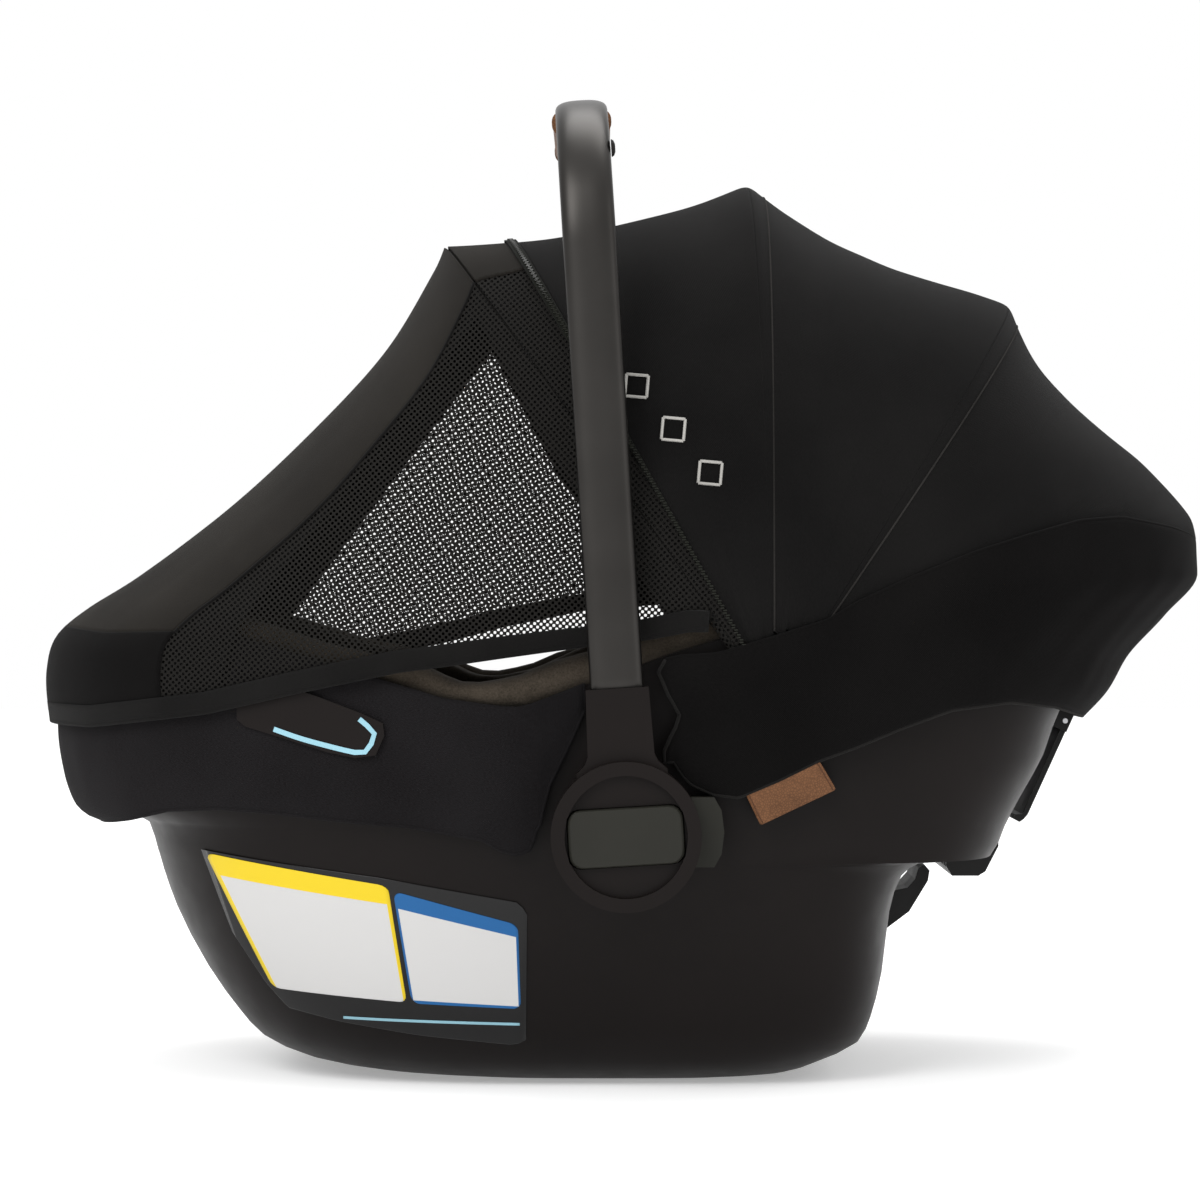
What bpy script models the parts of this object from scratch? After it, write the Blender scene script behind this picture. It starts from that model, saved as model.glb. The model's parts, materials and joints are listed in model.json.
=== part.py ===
"""Infant car seat carrier: moulded shell, swinging handle, folding canopy with a foot drape, harness.

Frame: metres, +X towards the head end, +Y to the carrier's left, +Z up.
The origin is on the floor, under the middle of the bounding box.
"""

import math

import bmesh
import bpy
import numpy as np
from mathutils import Matrix, Vector

# ---------------------------------------------------------------- driving dimensions
GAP = 0.0004  # between pieces that touch
WALL = 0.0035  # shell
PLAN_CENTRE = -0.020  # where the shell's plan outline changes from foot half to head half
PLAN_POINTS = 36

HUB_Z = 0.1457  # handle axis
HUB_RADIUS = 0.0405
HUB_INNER_Y, HUB_OUTER_Y = 0.1960, 0.2225
HUB_PIN_RADIUS, HUB_PIN_LENGTH = 0.010, 0.0045
DISH_RADIUS, DISH_DEPTH = 0.033, 0.006
BUTTON_WIDTH, BUTTON_HEIGHT, BUTTON_CORNER = 0.0625, 0.0315, 0.007
BUTTON_INNER_Y, BUTTON_OUTER_Y = 0.2085, 0.2212
SLOT_FLOOR_Y = 0.2035
HANDLE_LEAN = math.radians(-3.5)  # carrying position, a little towards the foot end
HANDLE_RISE = 0.4115  # hub axis to the top of the bar
TUBE_WIDTH, TUBE_THICK = 0.0290, 0.0130
TUBE_Y = 0.2060
TUBE_BEND = 0.0800
TUBE_ARCH = 0.004  # how far the middle of the top bar stands above its ends
SOCKET_TOP, SOCKET_WIDTH, SOCKET_THICK = 0.0797, 0.0340, 0.0175
GRIP_HALF = 0.068
GRIP_WALL = 0.0032

PIVOT = Vector((0.081, 0.0, 0.218))  # canopy pivot
BOW_POWER = 3.4  # how square a bow's shoulders are
BOW_WIDE, BOW_THICK = 0.006, 0.0026
BOW_CLEAR = 0.0020  # between a bow and the cloth over it
PANEL_THICK = 0.0025
PANEL_HALF = 0.1900
FRONT_TOP = (-0.1030, 0.4785)
MID_TOP = (0.0711, 0.5079)
REAR_TOP = (0.2180, 0.4405)
TAIL_TOP = (0.3290, 0.3205)

# Shell stations: height, foot-end x, head-end x, half width
SHELL = [
    (0.000, -0.125, 0.075, 0.092),
    (0.003, -0.160, 0.100, 0.108),
    (0.009, -0.190, 0.115, 0.123),
    (0.020, -0.2138, 0.1365, 0.134),
    (0.034, -0.2266, 0.1430, 0.143),
    (0.060, -0.2450, 0.1490, 0.152),
    (0.095, -0.2630, 0.1530, 0.161),
    (0.116, -0.2704, 0.1600, 0.1655),
    (0.1255, -0.2731, 0.1750, 0.1675),
    (0.1275, -0.2738, 0.2110, 0.1680),
    (0.1440, -0.2790, 0.2190, 0.1705),
    (0.1510, -0.2950, 0.2225, 0.1715),
    (0.1640, -0.3130, 0.2295, 0.1730),
    (0.1850, -0.3190, 0.2410, 0.1745),
    (0.2180, -0.3215, 0.2520, 0.1755),
    (0.2500, -0.3215, 0.2690, 0.1760),
    (0.2850, -0.3200, 0.2840, 0.1760),
    (0.3300, -0.3200, 0.2960, 0.1755),
]
# The seat's bowl, in the foam: the same columns
BOWL = [
    (0.062, -0.085, -0.015, 0.050),
    (0.070, -0.115, 0.010, 0.078),
    (0.085, -0.145, 0.035, 0.100),
    (0.110, -0.175, 0.062, 0.116),
    (0.140, -0.200, 0.090, 0.126),
    (0.170, -0.222, 0.120, 0.133),
    (0.200, -0.245, 0.152, 0.139),
    (0.235, -0.262, 0.190, 0.145),
    (0.270, -0.270, 0.225, 0.149),
    (0.335, -0.275, 0.262, 0.152),
]
# The head-end boot's outer surface: the same columns
BOOT = [
    (0.140, -0.150, 0.235, 0.1836),
    (0.150, -0.150, 0.240, 0.1850),
    (0.195, -0.150, 0.256, 0.1912),
    (0.208, -0.150, 0.267, 0.1926),
    (0.222, -0.150, 0.279, 0.1935),
    (0.242, -0.150, 0.2905, 0.1940),
    (0.265, -0.150, 0.311, 0.1942),
    (0.2885, -0.150, 0.3305, 0.1942),
    (0.304, -0.150, 0.3305, 0.1940),
    (0.340, -0.150, 0.3235, 0.1935),
]
# The foam's outside: the same columns
FOAM = [
    (0.010, -0.100, 0.070, 0.095),
    (0.025, -0.170, 0.110, 0.123),
    (0.065, -0.218, 0.132, 0.145),
    (0.125, -0.245, 0.150, 0.158),
    (0.150, -0.262, 0.190, 0.164),
    (0.200, -0.300, 0.232, 0.168),
    (0.260, -0.312, 0.262, 0.1695),
    (0.330, -0.312, 0.284, 0.1695),
]
BOOT_THICK = 0.0042
GUIDE_FACE, MARK_BACK, MARK_FACE = 0.0034, 0.0037, 0.0041  # out from the foot cover
FOAM_THICK = 0.019
SHELL_POWERS, BOWL_POWERS, BOOT_POWERS = (2.8, 5.0), (2.4, 2.6), (4.0, 4.0)  # foot half, head half

# The foot cover's outer surface: the same columns
SKIRT = [
    (0.1250, -0.2800, 0.2190, 0.1750),
    (0.1400, -0.2930, 0.2250, 0.1775),
    (0.1440, -0.3010, 0.2270, 0.1780),
    (0.1480, -0.3140, 0.2290, 0.1787),
    (0.1540, -0.3215, 0.2320, 0.1793),
    (0.1600, -0.3245, 0.2350, 0.1800),
    (0.1720, -0.3280, 0.2420, 0.1808),
    (0.1955, -0.3310, 0.2530, 0.1822),
    (0.2030, -0.3312, 0.2550, 0.1826),
    (0.2600, -0.3312, 0.2800, 0.1832),
]

# Side outlines, as (x, z)
RIM = [
    (-0.3600, 0.2330), (-0.3100, 0.2380), (-0.2900, 0.2440), (-0.2500, 0.2520), (-0.2127, 0.2510),
    (-0.1646, 0.2375), (-0.1418, 0.2306),
    (-0.1005, 0.2181), (-0.0700, 0.2140), (-0.0592, 0.2133), (-0.0512, 0.2153), (-0.0222, 0.2259),
    (0.0200, 0.2420), (0.0500, 0.2520), (0.1500, 0.2760), (0.2500, 0.3000), (0.3600, 0.3200),
]
PAD_RIM = [
    (-0.3600, 0.2480), (-0.3050, 0.2560), (-0.2500, 0.2640), (-0.2127, 0.2613), (-0.1646, 0.2464),
    (-0.1122, 0.2347), (-0.0935, 0.2256), (-0.0777, 0.2250), (-0.0556, 0.2295), (-0.0233, 0.2434),
    (0.0200, 0.2530), (0.0500, 0.2620), (0.1500, 0.2860), (0.2500, 0.3090), (0.3600, 0.3290),
]
FOOT_COVER_EDGE = [
    (-0.3500, 0.1400), (-0.3138, 0.1440), (-0.2800, 0.1500), (-0.2563, 0.1560), (-0.2270, 0.1577),
    (-0.1954, 0.1560), (-0.1567, 0.1519), (-0.1200, 0.1490), (-0.0790, 0.1420), (-0.0690, 0.1360),
    (-0.0604, 0.1335), (-0.0530, 0.1360), (-0.0470, 0.1500), (-0.0430, 0.1695), (-0.0300, 0.1960),
    (-0.0220, 0.2150),
]
BOOT_EDGE = [
    (0.0197, 0.2335), (0.0256, 0.2220), (0.0338, 0.2104), (0.0327, 0.2033), (0.0278, 0.1903),
    (0.0303, 0.1808), (0.0362, 0.1726), (0.0479, 0.1673), (0.0620, 0.1655), (0.0845, 0.1751),
    (0.1057, 0.1855), (0.1271, 0.1932), (0.1513, 0.2032), (0.1790, 0.2130), (0.2120, 0.2170),
    (0.2396, 0.2140), (0.2560, 0.2090), (0.2700, 0.2050), (0.3600, 0.2050),
]
BOOT_SEAM = [
    (0.0197, 0.2352), (0.0256, 0.2390), (0.0349, 0.2418), (0.0504, 0.2430), (0.0775, 0.2510),
    (0.1103, 0.2612), (0.1271, 0.2712), (0.1550, 0.2840), (0.1930, 0.2990), (0.2220, 0.3080),
    (0.2510, 0.3160), (0.2750, 0.3180), (0.3060, 0.3130), (0.3600, 0.3000),
]
# The drape's ridge, from the front bow over the foot end to its hem, and the hem's lower edge
DRAPE_RIDGE = [
    (-0.1046, 0.4780), (-0.1115, 0.4630), (-0.1390, 0.4185), (-0.1805, 0.3718), (-0.2308, 0.3247),
    (-0.2830, 0.2872), (-0.3144, 0.2675), (-0.3325, 0.2515), (-0.3380, 0.2330), (-0.3378, 0.2150),
    (-0.3350, 0.2030),
]
HEM_LINE = [
    (-0.3290, 0.2030), (-0.3000, 0.2025), (-0.2310, 0.2110), (-0.1785, 0.2230), (-0.1230, 0.2345),
    (-0.0992, 0.2375), (-0.0684, 0.2420), (-0.0289, 0.2475), (0.0121, 0.2522), (0.0346, 0.2565),
]
DRAPE_THICK = 0.0020

BACK_ALONG = Vector((0.72, 0.0, 0.694)).normalized()  # up the seat back
BACK_OUT = Vector((-0.694, 0.0, 0.72)).normalized()  # out of the seat back
LEVER_BASE = Vector((0.2233, 0.0, 0.1490))  # lower end of the lever's base line
LEVER_ALONG = Vector((0.4147, 0.0, 0.9100)).normalized()
LEVER_HALF, LUG_THICK = 0.0600, 0.0041
LEVER_HINGE = (0.0622, 0.0063)  # along the lever, out of its base line
SIDES = (("left", 1), ("right", -1))


# ---------------------------------------------------------------- materials
def material(name, colour, roughness, metallic=0.0):
    made = bpy.data.materials.new(name)
    made.use_nodes = True
    shader = made.node_tree.nodes["Principled BSDF"]
    shader.inputs["Base Color"].default_value = (*colour, 1.0)
    shader.inputs["Roughness"].default_value = roughness
    shader.inputs["Metallic"].default_value = metallic
    return made


def clear_scene():
    for obj in list(bpy.data.objects):
        bpy.data.objects.remove(obj)


# ---------------------------------------------------------------- mesh helpers
def add_mesh(name, points, faces, look):
    mesh = bpy.data.meshes.new(name)
    mesh.from_pydata([tuple(p) for p in points], [], faces)
    bm = bmesh.new()
    bm.from_mesh(mesh)
    bmesh.ops.recalc_face_normals(bm, faces=bm.faces)
    bm.to_mesh(mesh)
    bm.free()
    obj = bpy.data.objects.new(name, mesh)
    bpy.context.scene.collection.objects.link(obj)
    if look is not None:
        mesh.materials.append(look)
    return obj


def loft(name, rings, look):
    """A closed solid through rings of the same number of points, capped at both ends."""
    count = len(rings[0])
    points = [p for ring in rings for p in ring]
    faces = [tuple(range(count)), tuple(range(len(points) - count, len(points)))]
    for row in range(len(rings) - 1):
        for i in range(count):
            j = (i + 1) % count
            a, b = row * count, (row + 1) * count
            faces.append((a + i, a + j, b + j, b + i))
    return add_mesh(name, points, faces, look)


def slab(name, outer, inner, look):
    """A closed skin between two grids of points: outer[row][column] and inner[row][column]."""
    rows, cols = len(outer), len(outer[0])
    points = [p for row in outer for p in row] + [p for row in inner for p in row]
    half = rows * cols

    def at(layer, row, col):
        return layer * half + row * cols + col

    faces = []
    for row in range(rows - 1):
        for col in range(cols - 1):
            for layer in (0, 1):
                faces.append(
                    (at(layer, row, col), at(layer, row, col + 1),
                     at(layer, row + 1, col + 1), at(layer, row + 1, col))
                )
    for row in range(rows - 1):
        for col in (0, cols - 1):
            faces.append((at(0, row, col), at(0, row + 1, col), at(1, row + 1, col), at(1, row, col)))
    for col in range(cols - 1):
        for row in (0, rows - 1):
            faces.append((at(0, row, col), at(0, row, col + 1), at(1, row, col + 1), at(1, row, col)))
    return add_mesh(name, points, faces, look)


def block(name, outline, depth, origin, across, along, look):
    """A flat outline, in the across and along directions, extruded by depth along their normal."""
    across, along = Vector(across).normalized(), Vector(along).normalized()
    normal = across.cross(along)
    base = [Vector(origin) + across * u + along * v for u, v in outline]
    return loft(name, [base, [p + normal * depth for p in base]], look)


def prism(name, outline, half_depth, look=None):
    """A side outline (x, z) extruded across the whole width, from -half_depth to +half_depth in y."""
    rings = [[Vector((x, y, z)) for x, z in outline] for y in (-half_depth, half_depth)]
    return loft(name, rings, look)


def cylinder(name, centre_xz, radius, y_from, y_to, look, segments=40):
    turns = [2 * math.pi * i / segments for i in range(segments)]
    x, z = centre_xz
    rings = [
        [Vector((x + radius * math.cos(a), y, z + radius * math.sin(a))) for a in turns]
        for y in (y_from, y_to)
    ]
    return loft(name, rings, look)


def rounded_rectangle(width, height, corner, steps=4):
    points = []
    for sx, sz, start in ((1, 1, 0), (-1, 1, 90), (-1, -1, 180), (1, -1, 270)):
        for i in range(steps + 1):
            turn = math.radians(start + 90 * i / steps)
            points.append(
                (sx * (width / 2 - corner) + corner * math.cos(turn),
                 sz * (height / 2 - corner) + corner * math.sin(turn))
            )
    return points


def oval(width, thick, count=16, power=2.8):
    points = []
    for i in range(count):
        turn = 2 * math.pi * (i + 0.5) / count
        c, s = math.cos(turn), math.sin(turn)
        points.append(
            (width / 2 * math.copysign(abs(c) ** (2 / power), c),
             thick / 2 * math.copysign(abs(s) ** (2 / power), s))
        )
    return points


def section_rings(path, wide, section):
    """The section's rings along a path that is flat across the wide direction."""
    wide = Vector(wide).normalized()
    rings = []
    for i, point in enumerate(path):
        before, after = path[max(i - 1, 0)], path[min(i + 1, len(path) - 1)]
        tangent = (Vector(after) - Vector(before)).normalized()
        thin = tangent.cross(wide).normalized()
        rings.append([Vector(point) + wide * u + thin * v for u, v in section])
    return rings


def sweep(name, path, wide, section, look):
    return loft(name, section_rings(path, wide, section), look)


def smooth_path(points, count):
    """Points evenly along a smooth curve (Catmull-Rom) through the given ones."""
    p = [np.array(q, float) for q in points]
    p = [2 * p[0] - p[1], *p, 2 * p[-1] - p[-2]]
    dense = []
    for i in range(1, len(p) - 2):
        for t in np.linspace(0, 1, 12, endpoint=False):
            a = 2 * p[i] + (p[i + 1] - p[i - 1]) * t
            b = (2 * p[i - 1] - 5 * p[i] + 4 * p[i + 1] - p[i + 2]) * t**2
            c = (3 * p[i] - p[i - 1] - 3 * p[i + 1] + p[i + 2]) * t**3
            dense.append((a + b + c) / 2)
    dense.append(p[-2])
    dense = np.array(dense)
    length = np.concatenate([[0], np.cumsum(np.linalg.norm(np.diff(dense, axis=0), axis=1))])
    at = np.linspace(0, length[-1], count)
    return [
        tuple(float(np.interp(s, length, dense[:, k])) for k in range(dense.shape[1])) for s in at
    ]


def combine(obj, other, operation):
    """A Boolean of obj with other; other becomes a hidden cutter."""
    modifier = obj.modifiers.new(other.name, "BOOLEAN")
    modifier.operation = operation
    modifier.solver = "EXACT"
    modifier.object = other
    other.hide_render = True
    other.display_type = "WIRE"
    return obj


def cut(obj, *others):
    for other in others:
        combine(obj, other, "DIFFERENCE")
    return obj


# ---------------------------------------------------------------- plan outlines
def station(stations, z, inset):
    """(foot x, head x, half width) at height z of a lofted form, moved inwards by inset (outwards if negative)."""
    table = np.array(stations)
    tight = max if inset > 0 else min
    loose = min if inset > 0 else max
    foot, head, half = (
        (np.interp(z, table[:, 0], table[:, k]), np.interp(z - inset, table[:, 0], table[:, k]))
        for k in (1, 2, 3)
    )
    return tight(foot) + inset, loose(head) - inset, loose(half) - inset


def plan_ring(foot, head, half, z, powers, count=PLAN_POINTS):
    ring = []
    for i in range(count):
        turn = 2 * math.pi * (i + 0.5) / count
        c, s = math.cos(turn), math.sin(turn)
        power = powers[1] if c > 0 else powers[0]
        reach = (head - PLAN_CENTRE) if c > 0 else (PLAN_CENTRE - foot)
        ring.append(
            Vector(
                (PLAN_CENTRE + math.copysign(reach * abs(c) ** (2 / power), c),
                 math.copysign(half * abs(s) ** (2 / power), s), z)
            )
        )
    return ring


def form(name, stations, inset, powers, look=None):
    """A lofted form through the stations, moved inwards by inset."""
    heights = [row[0] for row in stations]
    rings = []
    for z in heights:
        level = z + inset if inset > 0 else z
        foot, head, half = station(stations, level, inset)
        rings.append(plan_ring(foot, head, half, level, powers))
    if inset < 0:
        lowest = heights[0] + inset
        rings.insert(0, plan_ring(*station(stations, heights[0], 0), lowest, powers))
    return loft(name, rings, look)


def above(line, lift, top=0.60):
    """The side region above a line, for a cutter."""
    return [(x, z + lift) for x, z in line] + [(line[-1][0], top), (line[0][0], top)]


def below(line, lift, bottom=-0.05):
    return [(x, z + lift) for x, z in line] + [(line[-1][0], bottom), (line[0][0], bottom)]


# ---------------------------------------------------------------- shell and what is fixed to it
def make_shell(looks):
    shell = form("outer_shell", SHELL, 0.0, SHELL_POWERS, looks["shell"])
    hollow = form("cut_shell_hollow", SHELL, WALL, SHELL_POWERS)
    cut(shell, hollow, prism("cut_shell_top", above(RIM, 0.0), 0.3))

    foam = form("foam_liner", FOAM, 0.0, SHELL_POWERS, looks["foam"])
    combine(foam, form("cut_foam_outside", BOWL, -FOAM_THICK, BOWL_POWERS), "INTERSECT")
    cut(
        foam,
        form("cut_foam_bowl", BOWL, 0.0, BOWL_POWERS),
        prism("cut_foam_top", above(RIM, -0.004), 0.3),
    )

    pad = form("seat_pad", BOWL, 0.0012, BOWL_POWERS, looks["pad"])
    combine(pad, prism("cut_pad_top", below(PAD_RIM, 0.0), 0.3), "INTERSECT")
    flange = form("cut_pad_flange", SHELL, 0.0006, SHELL_POWERS)
    lip = [(x, z + 0.0007) for x, z in RIM] + list(reversed(PAD_RIM))
    combine(flange, prism("cut_pad_lip", lip, 0.3), "INTERSECT")
    combine(pad, flange, "UNION")
    cut(pad, form("cut_pad_bowl", BOWL, 0.012, BOWL_POWERS))


def make_covers(looks):
    """The charcoal skirt round the foot end and the black boot round the head end."""
    skirt = form("foot_cover", SKIRT, 0.0, SHELL_POWERS, looks["charcoal"])
    cut(skirt, form("cut_skirt_inside", SHELL, -0.0008, SHELL_POWERS))
    region = FOOT_COVER_EDGE + [(-0.0200, 0.2257)] + [
        (x, z - 0.001) for x, z in reversed(RIM) if x < -0.020
    ]
    combine(skirt, prism("cut_skirt_region", region, 0.3), "INTERSECT")

    boot = form("head_boot", BOOT, 0.0, BOOT_POWERS, looks["black_fabric"])
    cut(
        boot,
        form("cut_boot_inside", BOOT, BOOT_THICK, BOOT_POWERS),
        form("cut_boot_shell", SHELL, -0.0008, SHELL_POWERS),
    )
    region = BOOT_EDGE + list(reversed(BOOT_SEAM))
    combine(boot, prism("cut_boot_region", region, 0.3), "INTERSECT")


def make_belt_guides(looks):
    """The moulded lap-belt guides over the skirt, each with a coloured mark."""
    outline = [
        (-0.2139, 0.2190), (-0.2139, 0.2070), (-0.2090, 0.2032), (-0.1861, 0.1965), (-0.1632, 0.1894),
        (-0.1480, 0.1864), (-0.1366, 0.1879), (-0.1318, 0.1987), (-0.1325, 0.2055), (-0.1442, 0.2108),
        (-0.1671, 0.2194), (-0.1785, 0.2232), (-0.2000, 0.2260), (-0.2110, 0.2230),
    ]
    line = [
        (-0.1929, 0.2020), (-0.1785, 0.1971), (-0.1632, 0.1930), (-0.1480, 0.1895), (-0.1426, 0.1896),
        (-0.1390, 0.1941), (-0.1371, 0.1994), (-0.1402, 0.2033), (-0.1455, 0.2078),
    ]
    line = smooth_path(line, 14)
    band = []
    for half_width in (0.0014, -0.0014):
        edge = []
        for i, (x, z) in enumerate(line):
            before, after = line[max(i - 1, 0)], line[min(i + 1, len(line) - 1)]
            along = Vector((after[0] - before[0], after[1] - before[1])).normalized()
            edge.append((x - along.y * half_width, z + along.x * half_width))
        band += edge if half_width > 0 else edge[::-1]
    for side, sign in SIDES:
        ends = (sign * 0.120, sign * 0.210)
        guide = loft(f"belt_guide_{side}", [[Vector((x, y, z)) for x, z in outline] for y in ends], looks["trim"])
        combine(guide, form(f"cut_guide_face_{side}", SKIRT, -GUIDE_FACE, SHELL_POWERS), "INTERSECT")
        cut(guide, form(f"cut_guide_back_{side}", SKIRT, -GAP, SHELL_POWERS))
        mark = loft(f"belt_mark_{side}", [[Vector((x, y, z)) for x, z in band] for y in ends], looks["blue"])
        combine(mark, form(f"cut_mark_face_{side}", SKIRT, -MARK_FACE, SHELL_POWERS), "INTERSECT")
        cut(mark, form(f"cut_mark_back_{side}", SKIRT, -MARK_BACK, SHELL_POWERS))


def make_hub_mounts(looks):
    """The discs fixed to the shell that carry the handle, with their pins, and the grey stroller docks."""
    for side, sign in SIDES:
        mount = cylinder(f"handle_mount_{side}", (0, HUB_Z), 0.0360, sign * 0.150, sign * 0.1955, looks["trim"])
        pin = cylinder(
            f"cut_pin_{side}", (0, HUB_Z), HUB_PIN_RADIUS, sign * 0.190,
            sign * (0.1955 + HUB_PIN_LENGTH), None, 24,
        )
        combine(mount, pin, "UNION")
        cut(mount, form(f"cut_mount_shell_{side}", SHELL, -GAP, SHELL_POWERS))

        tall, corner = 0.0380, 0.004
        outline = [(0.0, HUB_Z + 0.0010 + tall / 2), (0.0480, HUB_Z + 0.0010 + tall / 2)]
        outline += [(0.0520, HUB_Z + 0.0130), (0.0535, HUB_Z + 0.0010), (0.0520, HUB_Z - 0.0110)]
        outline += [(0.0480, HUB_Z + 0.0010 - tall / 2), (0.0, HUB_Z + 0.0010 - tall / 2)]
        rings = [[Vector((x, y, z)) for x, z in outline] for y in (sign * 0.150, sign * (0.1900 + corner))]
        dock = loft(f"stroller_dock_{side}", rings, looks["grey"])
        cut(
            dock,
            cylinder(f"cut_dock_{side}", (0, HUB_Z), 0.0360 + GAP, sign * 0.14, sign * 0.21, None),
            form(f"cut_dock_shell_{side}", SHELL, -GAP, SHELL_POWERS),
        )


def make_rear_parts(looks):
    """What is fixed low on the head end of the shell: belt hook and resting foot."""
    hook_outline = [
        (0.1480, 0.0850), (0.1680, 0.1000), (0.1790, 0.1180), (0.1800, 0.1240), (0.1770, 0.1275),
        (0.1735, 0.1255), (0.1715, 0.1190), (0.1670, 0.1140), (0.1600, 0.1125), (0.1480, 0.1130),
    ]
    hook = loft(
        "rear_belt_hook",
        [[Vector((x - 0.0005, y, z - 0.010)) for x, z in hook_outline] for y in (-0.030, 0.030)],
        looks["black_plastic"],
    )
    cut(hook, form("cut_hook_shell", SHELL, -GAP, SHELL_POWERS))

    foot_outline = [
        (0.1820, 0.1400), (0.1845, 0.1200), (0.1875, 0.1150), (0.2025, 0.1150), (0.2065, 0.1175),
        (0.2140, 0.1320), (0.2140, 0.1400),
    ]
    foot = loft(
        "rear_foot",
        [[Vector((x, y, z)) for x, z in foot_outline] for y in (-0.085, 0.085)],
        looks["black_plastic"],
    )
    cut(foot, form("cut_foot_shell", SHELL, -GAP, SHELL_POWERS))



def lever_plate(name, profile, half, look):
    """A bar across the carrier from a profile in the lever's own directions: along it, and out of the shell."""
    out = Vector((LEVER_ALONG.z, 0, -LEVER_ALONG.x))
    line = [LEVER_BASE + LEVER_ALONG * s + out * n for s, n in profile]
    return loft(name, [[Vector((p.x, y, p.z)) for p in line] for y in (-half, half)], look)


def make_lever(looks):
    """The release lever: a thin plate close to the shell, on a pin between the lugs of a bracket."""
    profile = [
        (-0.0020, 0.0070), (-0.0018, 0.0033), (0.0010, 0.0030), (0.0030, 0.0068), (0.0575, 0.0062),
        (0.0580, 0.0032), (0.0650, 0.0036), (0.0662, 0.0063), (0.0650, 0.0095), (0.0040, 0.0095),
        (0.0005, 0.0085),
    ]
    lever = lever_plate("release_lever", profile, LEVER_HALF, looks["black_plastic"])
    out = Vector((LEVER_ALONG.z, 0, -LEVER_ALONG.x))
    hinge = LEVER_BASE + LEVER_ALONG * LEVER_HINGE[0] + out * LEVER_HINGE[1]
    cut(lever, cylinder("cut_lever_bore", (hinge.x, hinge.z), 0.0018, -0.07, 0.07, None, 12))
    ends = LEVER_HALF + GAP + LUG_THICK
    cylinder("lever_pin", (hinge.x, hinge.z), 0.0015, -ends, ends, looks["steel"], 12)

    body = [(0.0565, -0.0060), (0.0680, -0.0060), (0.0680, 0.0095), (0.0565, 0.0095)]
    room = [(0.0500, 0.0022), (0.0750, 0.0022), (0.0750, 0.0200), (0.0500, 0.0200)]
    bracket = lever_plate("lever_bracket", body, ends, looks["black_plastic"])
    cut(
        bracket,
        lever_plate("cut_bracket_room", room, LEVER_HALF + GAP, None),
        cylinder("cut_bracket_bore", (hinge.x, hinge.z), 0.0018, -0.07, 0.07, None, 12),
        form("cut_bracket_shell", SHELL, -GAP, SHELL_POWERS),
    )


def make_labels(looks):
    """One thin vinyl label sheet low on each of the shell's flanks."""
    outline = [
        (-0.2214, 0.0853), (-0.2388, 0.1324), (-0.1354, 0.1194), (-0.0581, 0.1060), (-0.0542, 0.0992),
        (-0.0552, 0.0276), (-0.0614, 0.0245), (-0.1146, 0.0296), (-0.1603, 0.0365), (-0.1900, 0.0428),
        (-0.2026, 0.0569),
    ]
    for side, sign in SIDES:
        rings = [[Vector((x, y, z)) for x, z in outline] for y in (sign * 0.070, sign * 0.200)]
        plate = loft(f"label_{side}", rings, looks["label"])
        combine(plate, form(f"cut_label_outside_{side}", SHELL, -0.0008, SHELL_POWERS), "INTERSECT")
        cut(plate, form(f"cut_label_shell_{side}", SHELL, -0.0003, SHELL_POWERS))


def make_leather_tag(looks):
    """A small tag hanging from the boot's lower edge on the right side, in line with its cloth."""
    corners = [(0.0654, 0.1642), (0.1056, 0.1822), (0.1148, 0.1695), (0.0735, 0.1499)]
    tag = loft("leather_tag", [[Vector((x, y, z)) for x, z in corners] for y in (-0.150, -0.210)], looks["leather"])
    combine(tag, form("cut_tag_face", BOOT, 0.0010, BOOT_POWERS), "INTERSECT")
    cut(tag, form("cut_tag_back", BOOT, 0.0022, BOOT_POWERS))


# ---------------------------------------------------------------- handle
def handle_path(count=14):
    """The tube's centre line in the handle's own upright frame, from one hub to the other."""
    top = HANDLE_RISE - TUBE_THICK / 2 - TUBE_ARCH
    centre_y, centre_z = TUBE_Y - TUBE_BEND, top - TUBE_BEND
    leg = [(-TUBE_Y, z) for z in (0.0560, 0.110, 0.200)]
    bend = [
        (-centre_y - TUBE_BEND * math.cos(a), centre_z + TUBE_BEND * math.sin(a))
        for a in (math.pi / 2 * i / (count - 4) for i in range(count - 3))
    ]
    half = leg + bend
    bar = [(y, top + TUBE_ARCH * (1 - (y / centre_y) ** 2)) for y in (-0.070, -0.045, 0.0)]
    half += bar
    return [(0, y, z) for y, z in half] + [(0, -y, z) for y, z in reversed(half[:-1])]


def place_on_handle(*objects):
    """Turns pieces made upright about the origin into the handle's carrying position."""
    for obj in objects:
        obj.matrix_world = Matrix.Translation((0, 0, HUB_Z)) @ Matrix.Rotation(HANDLE_LEAN, 4, "Y")


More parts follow.
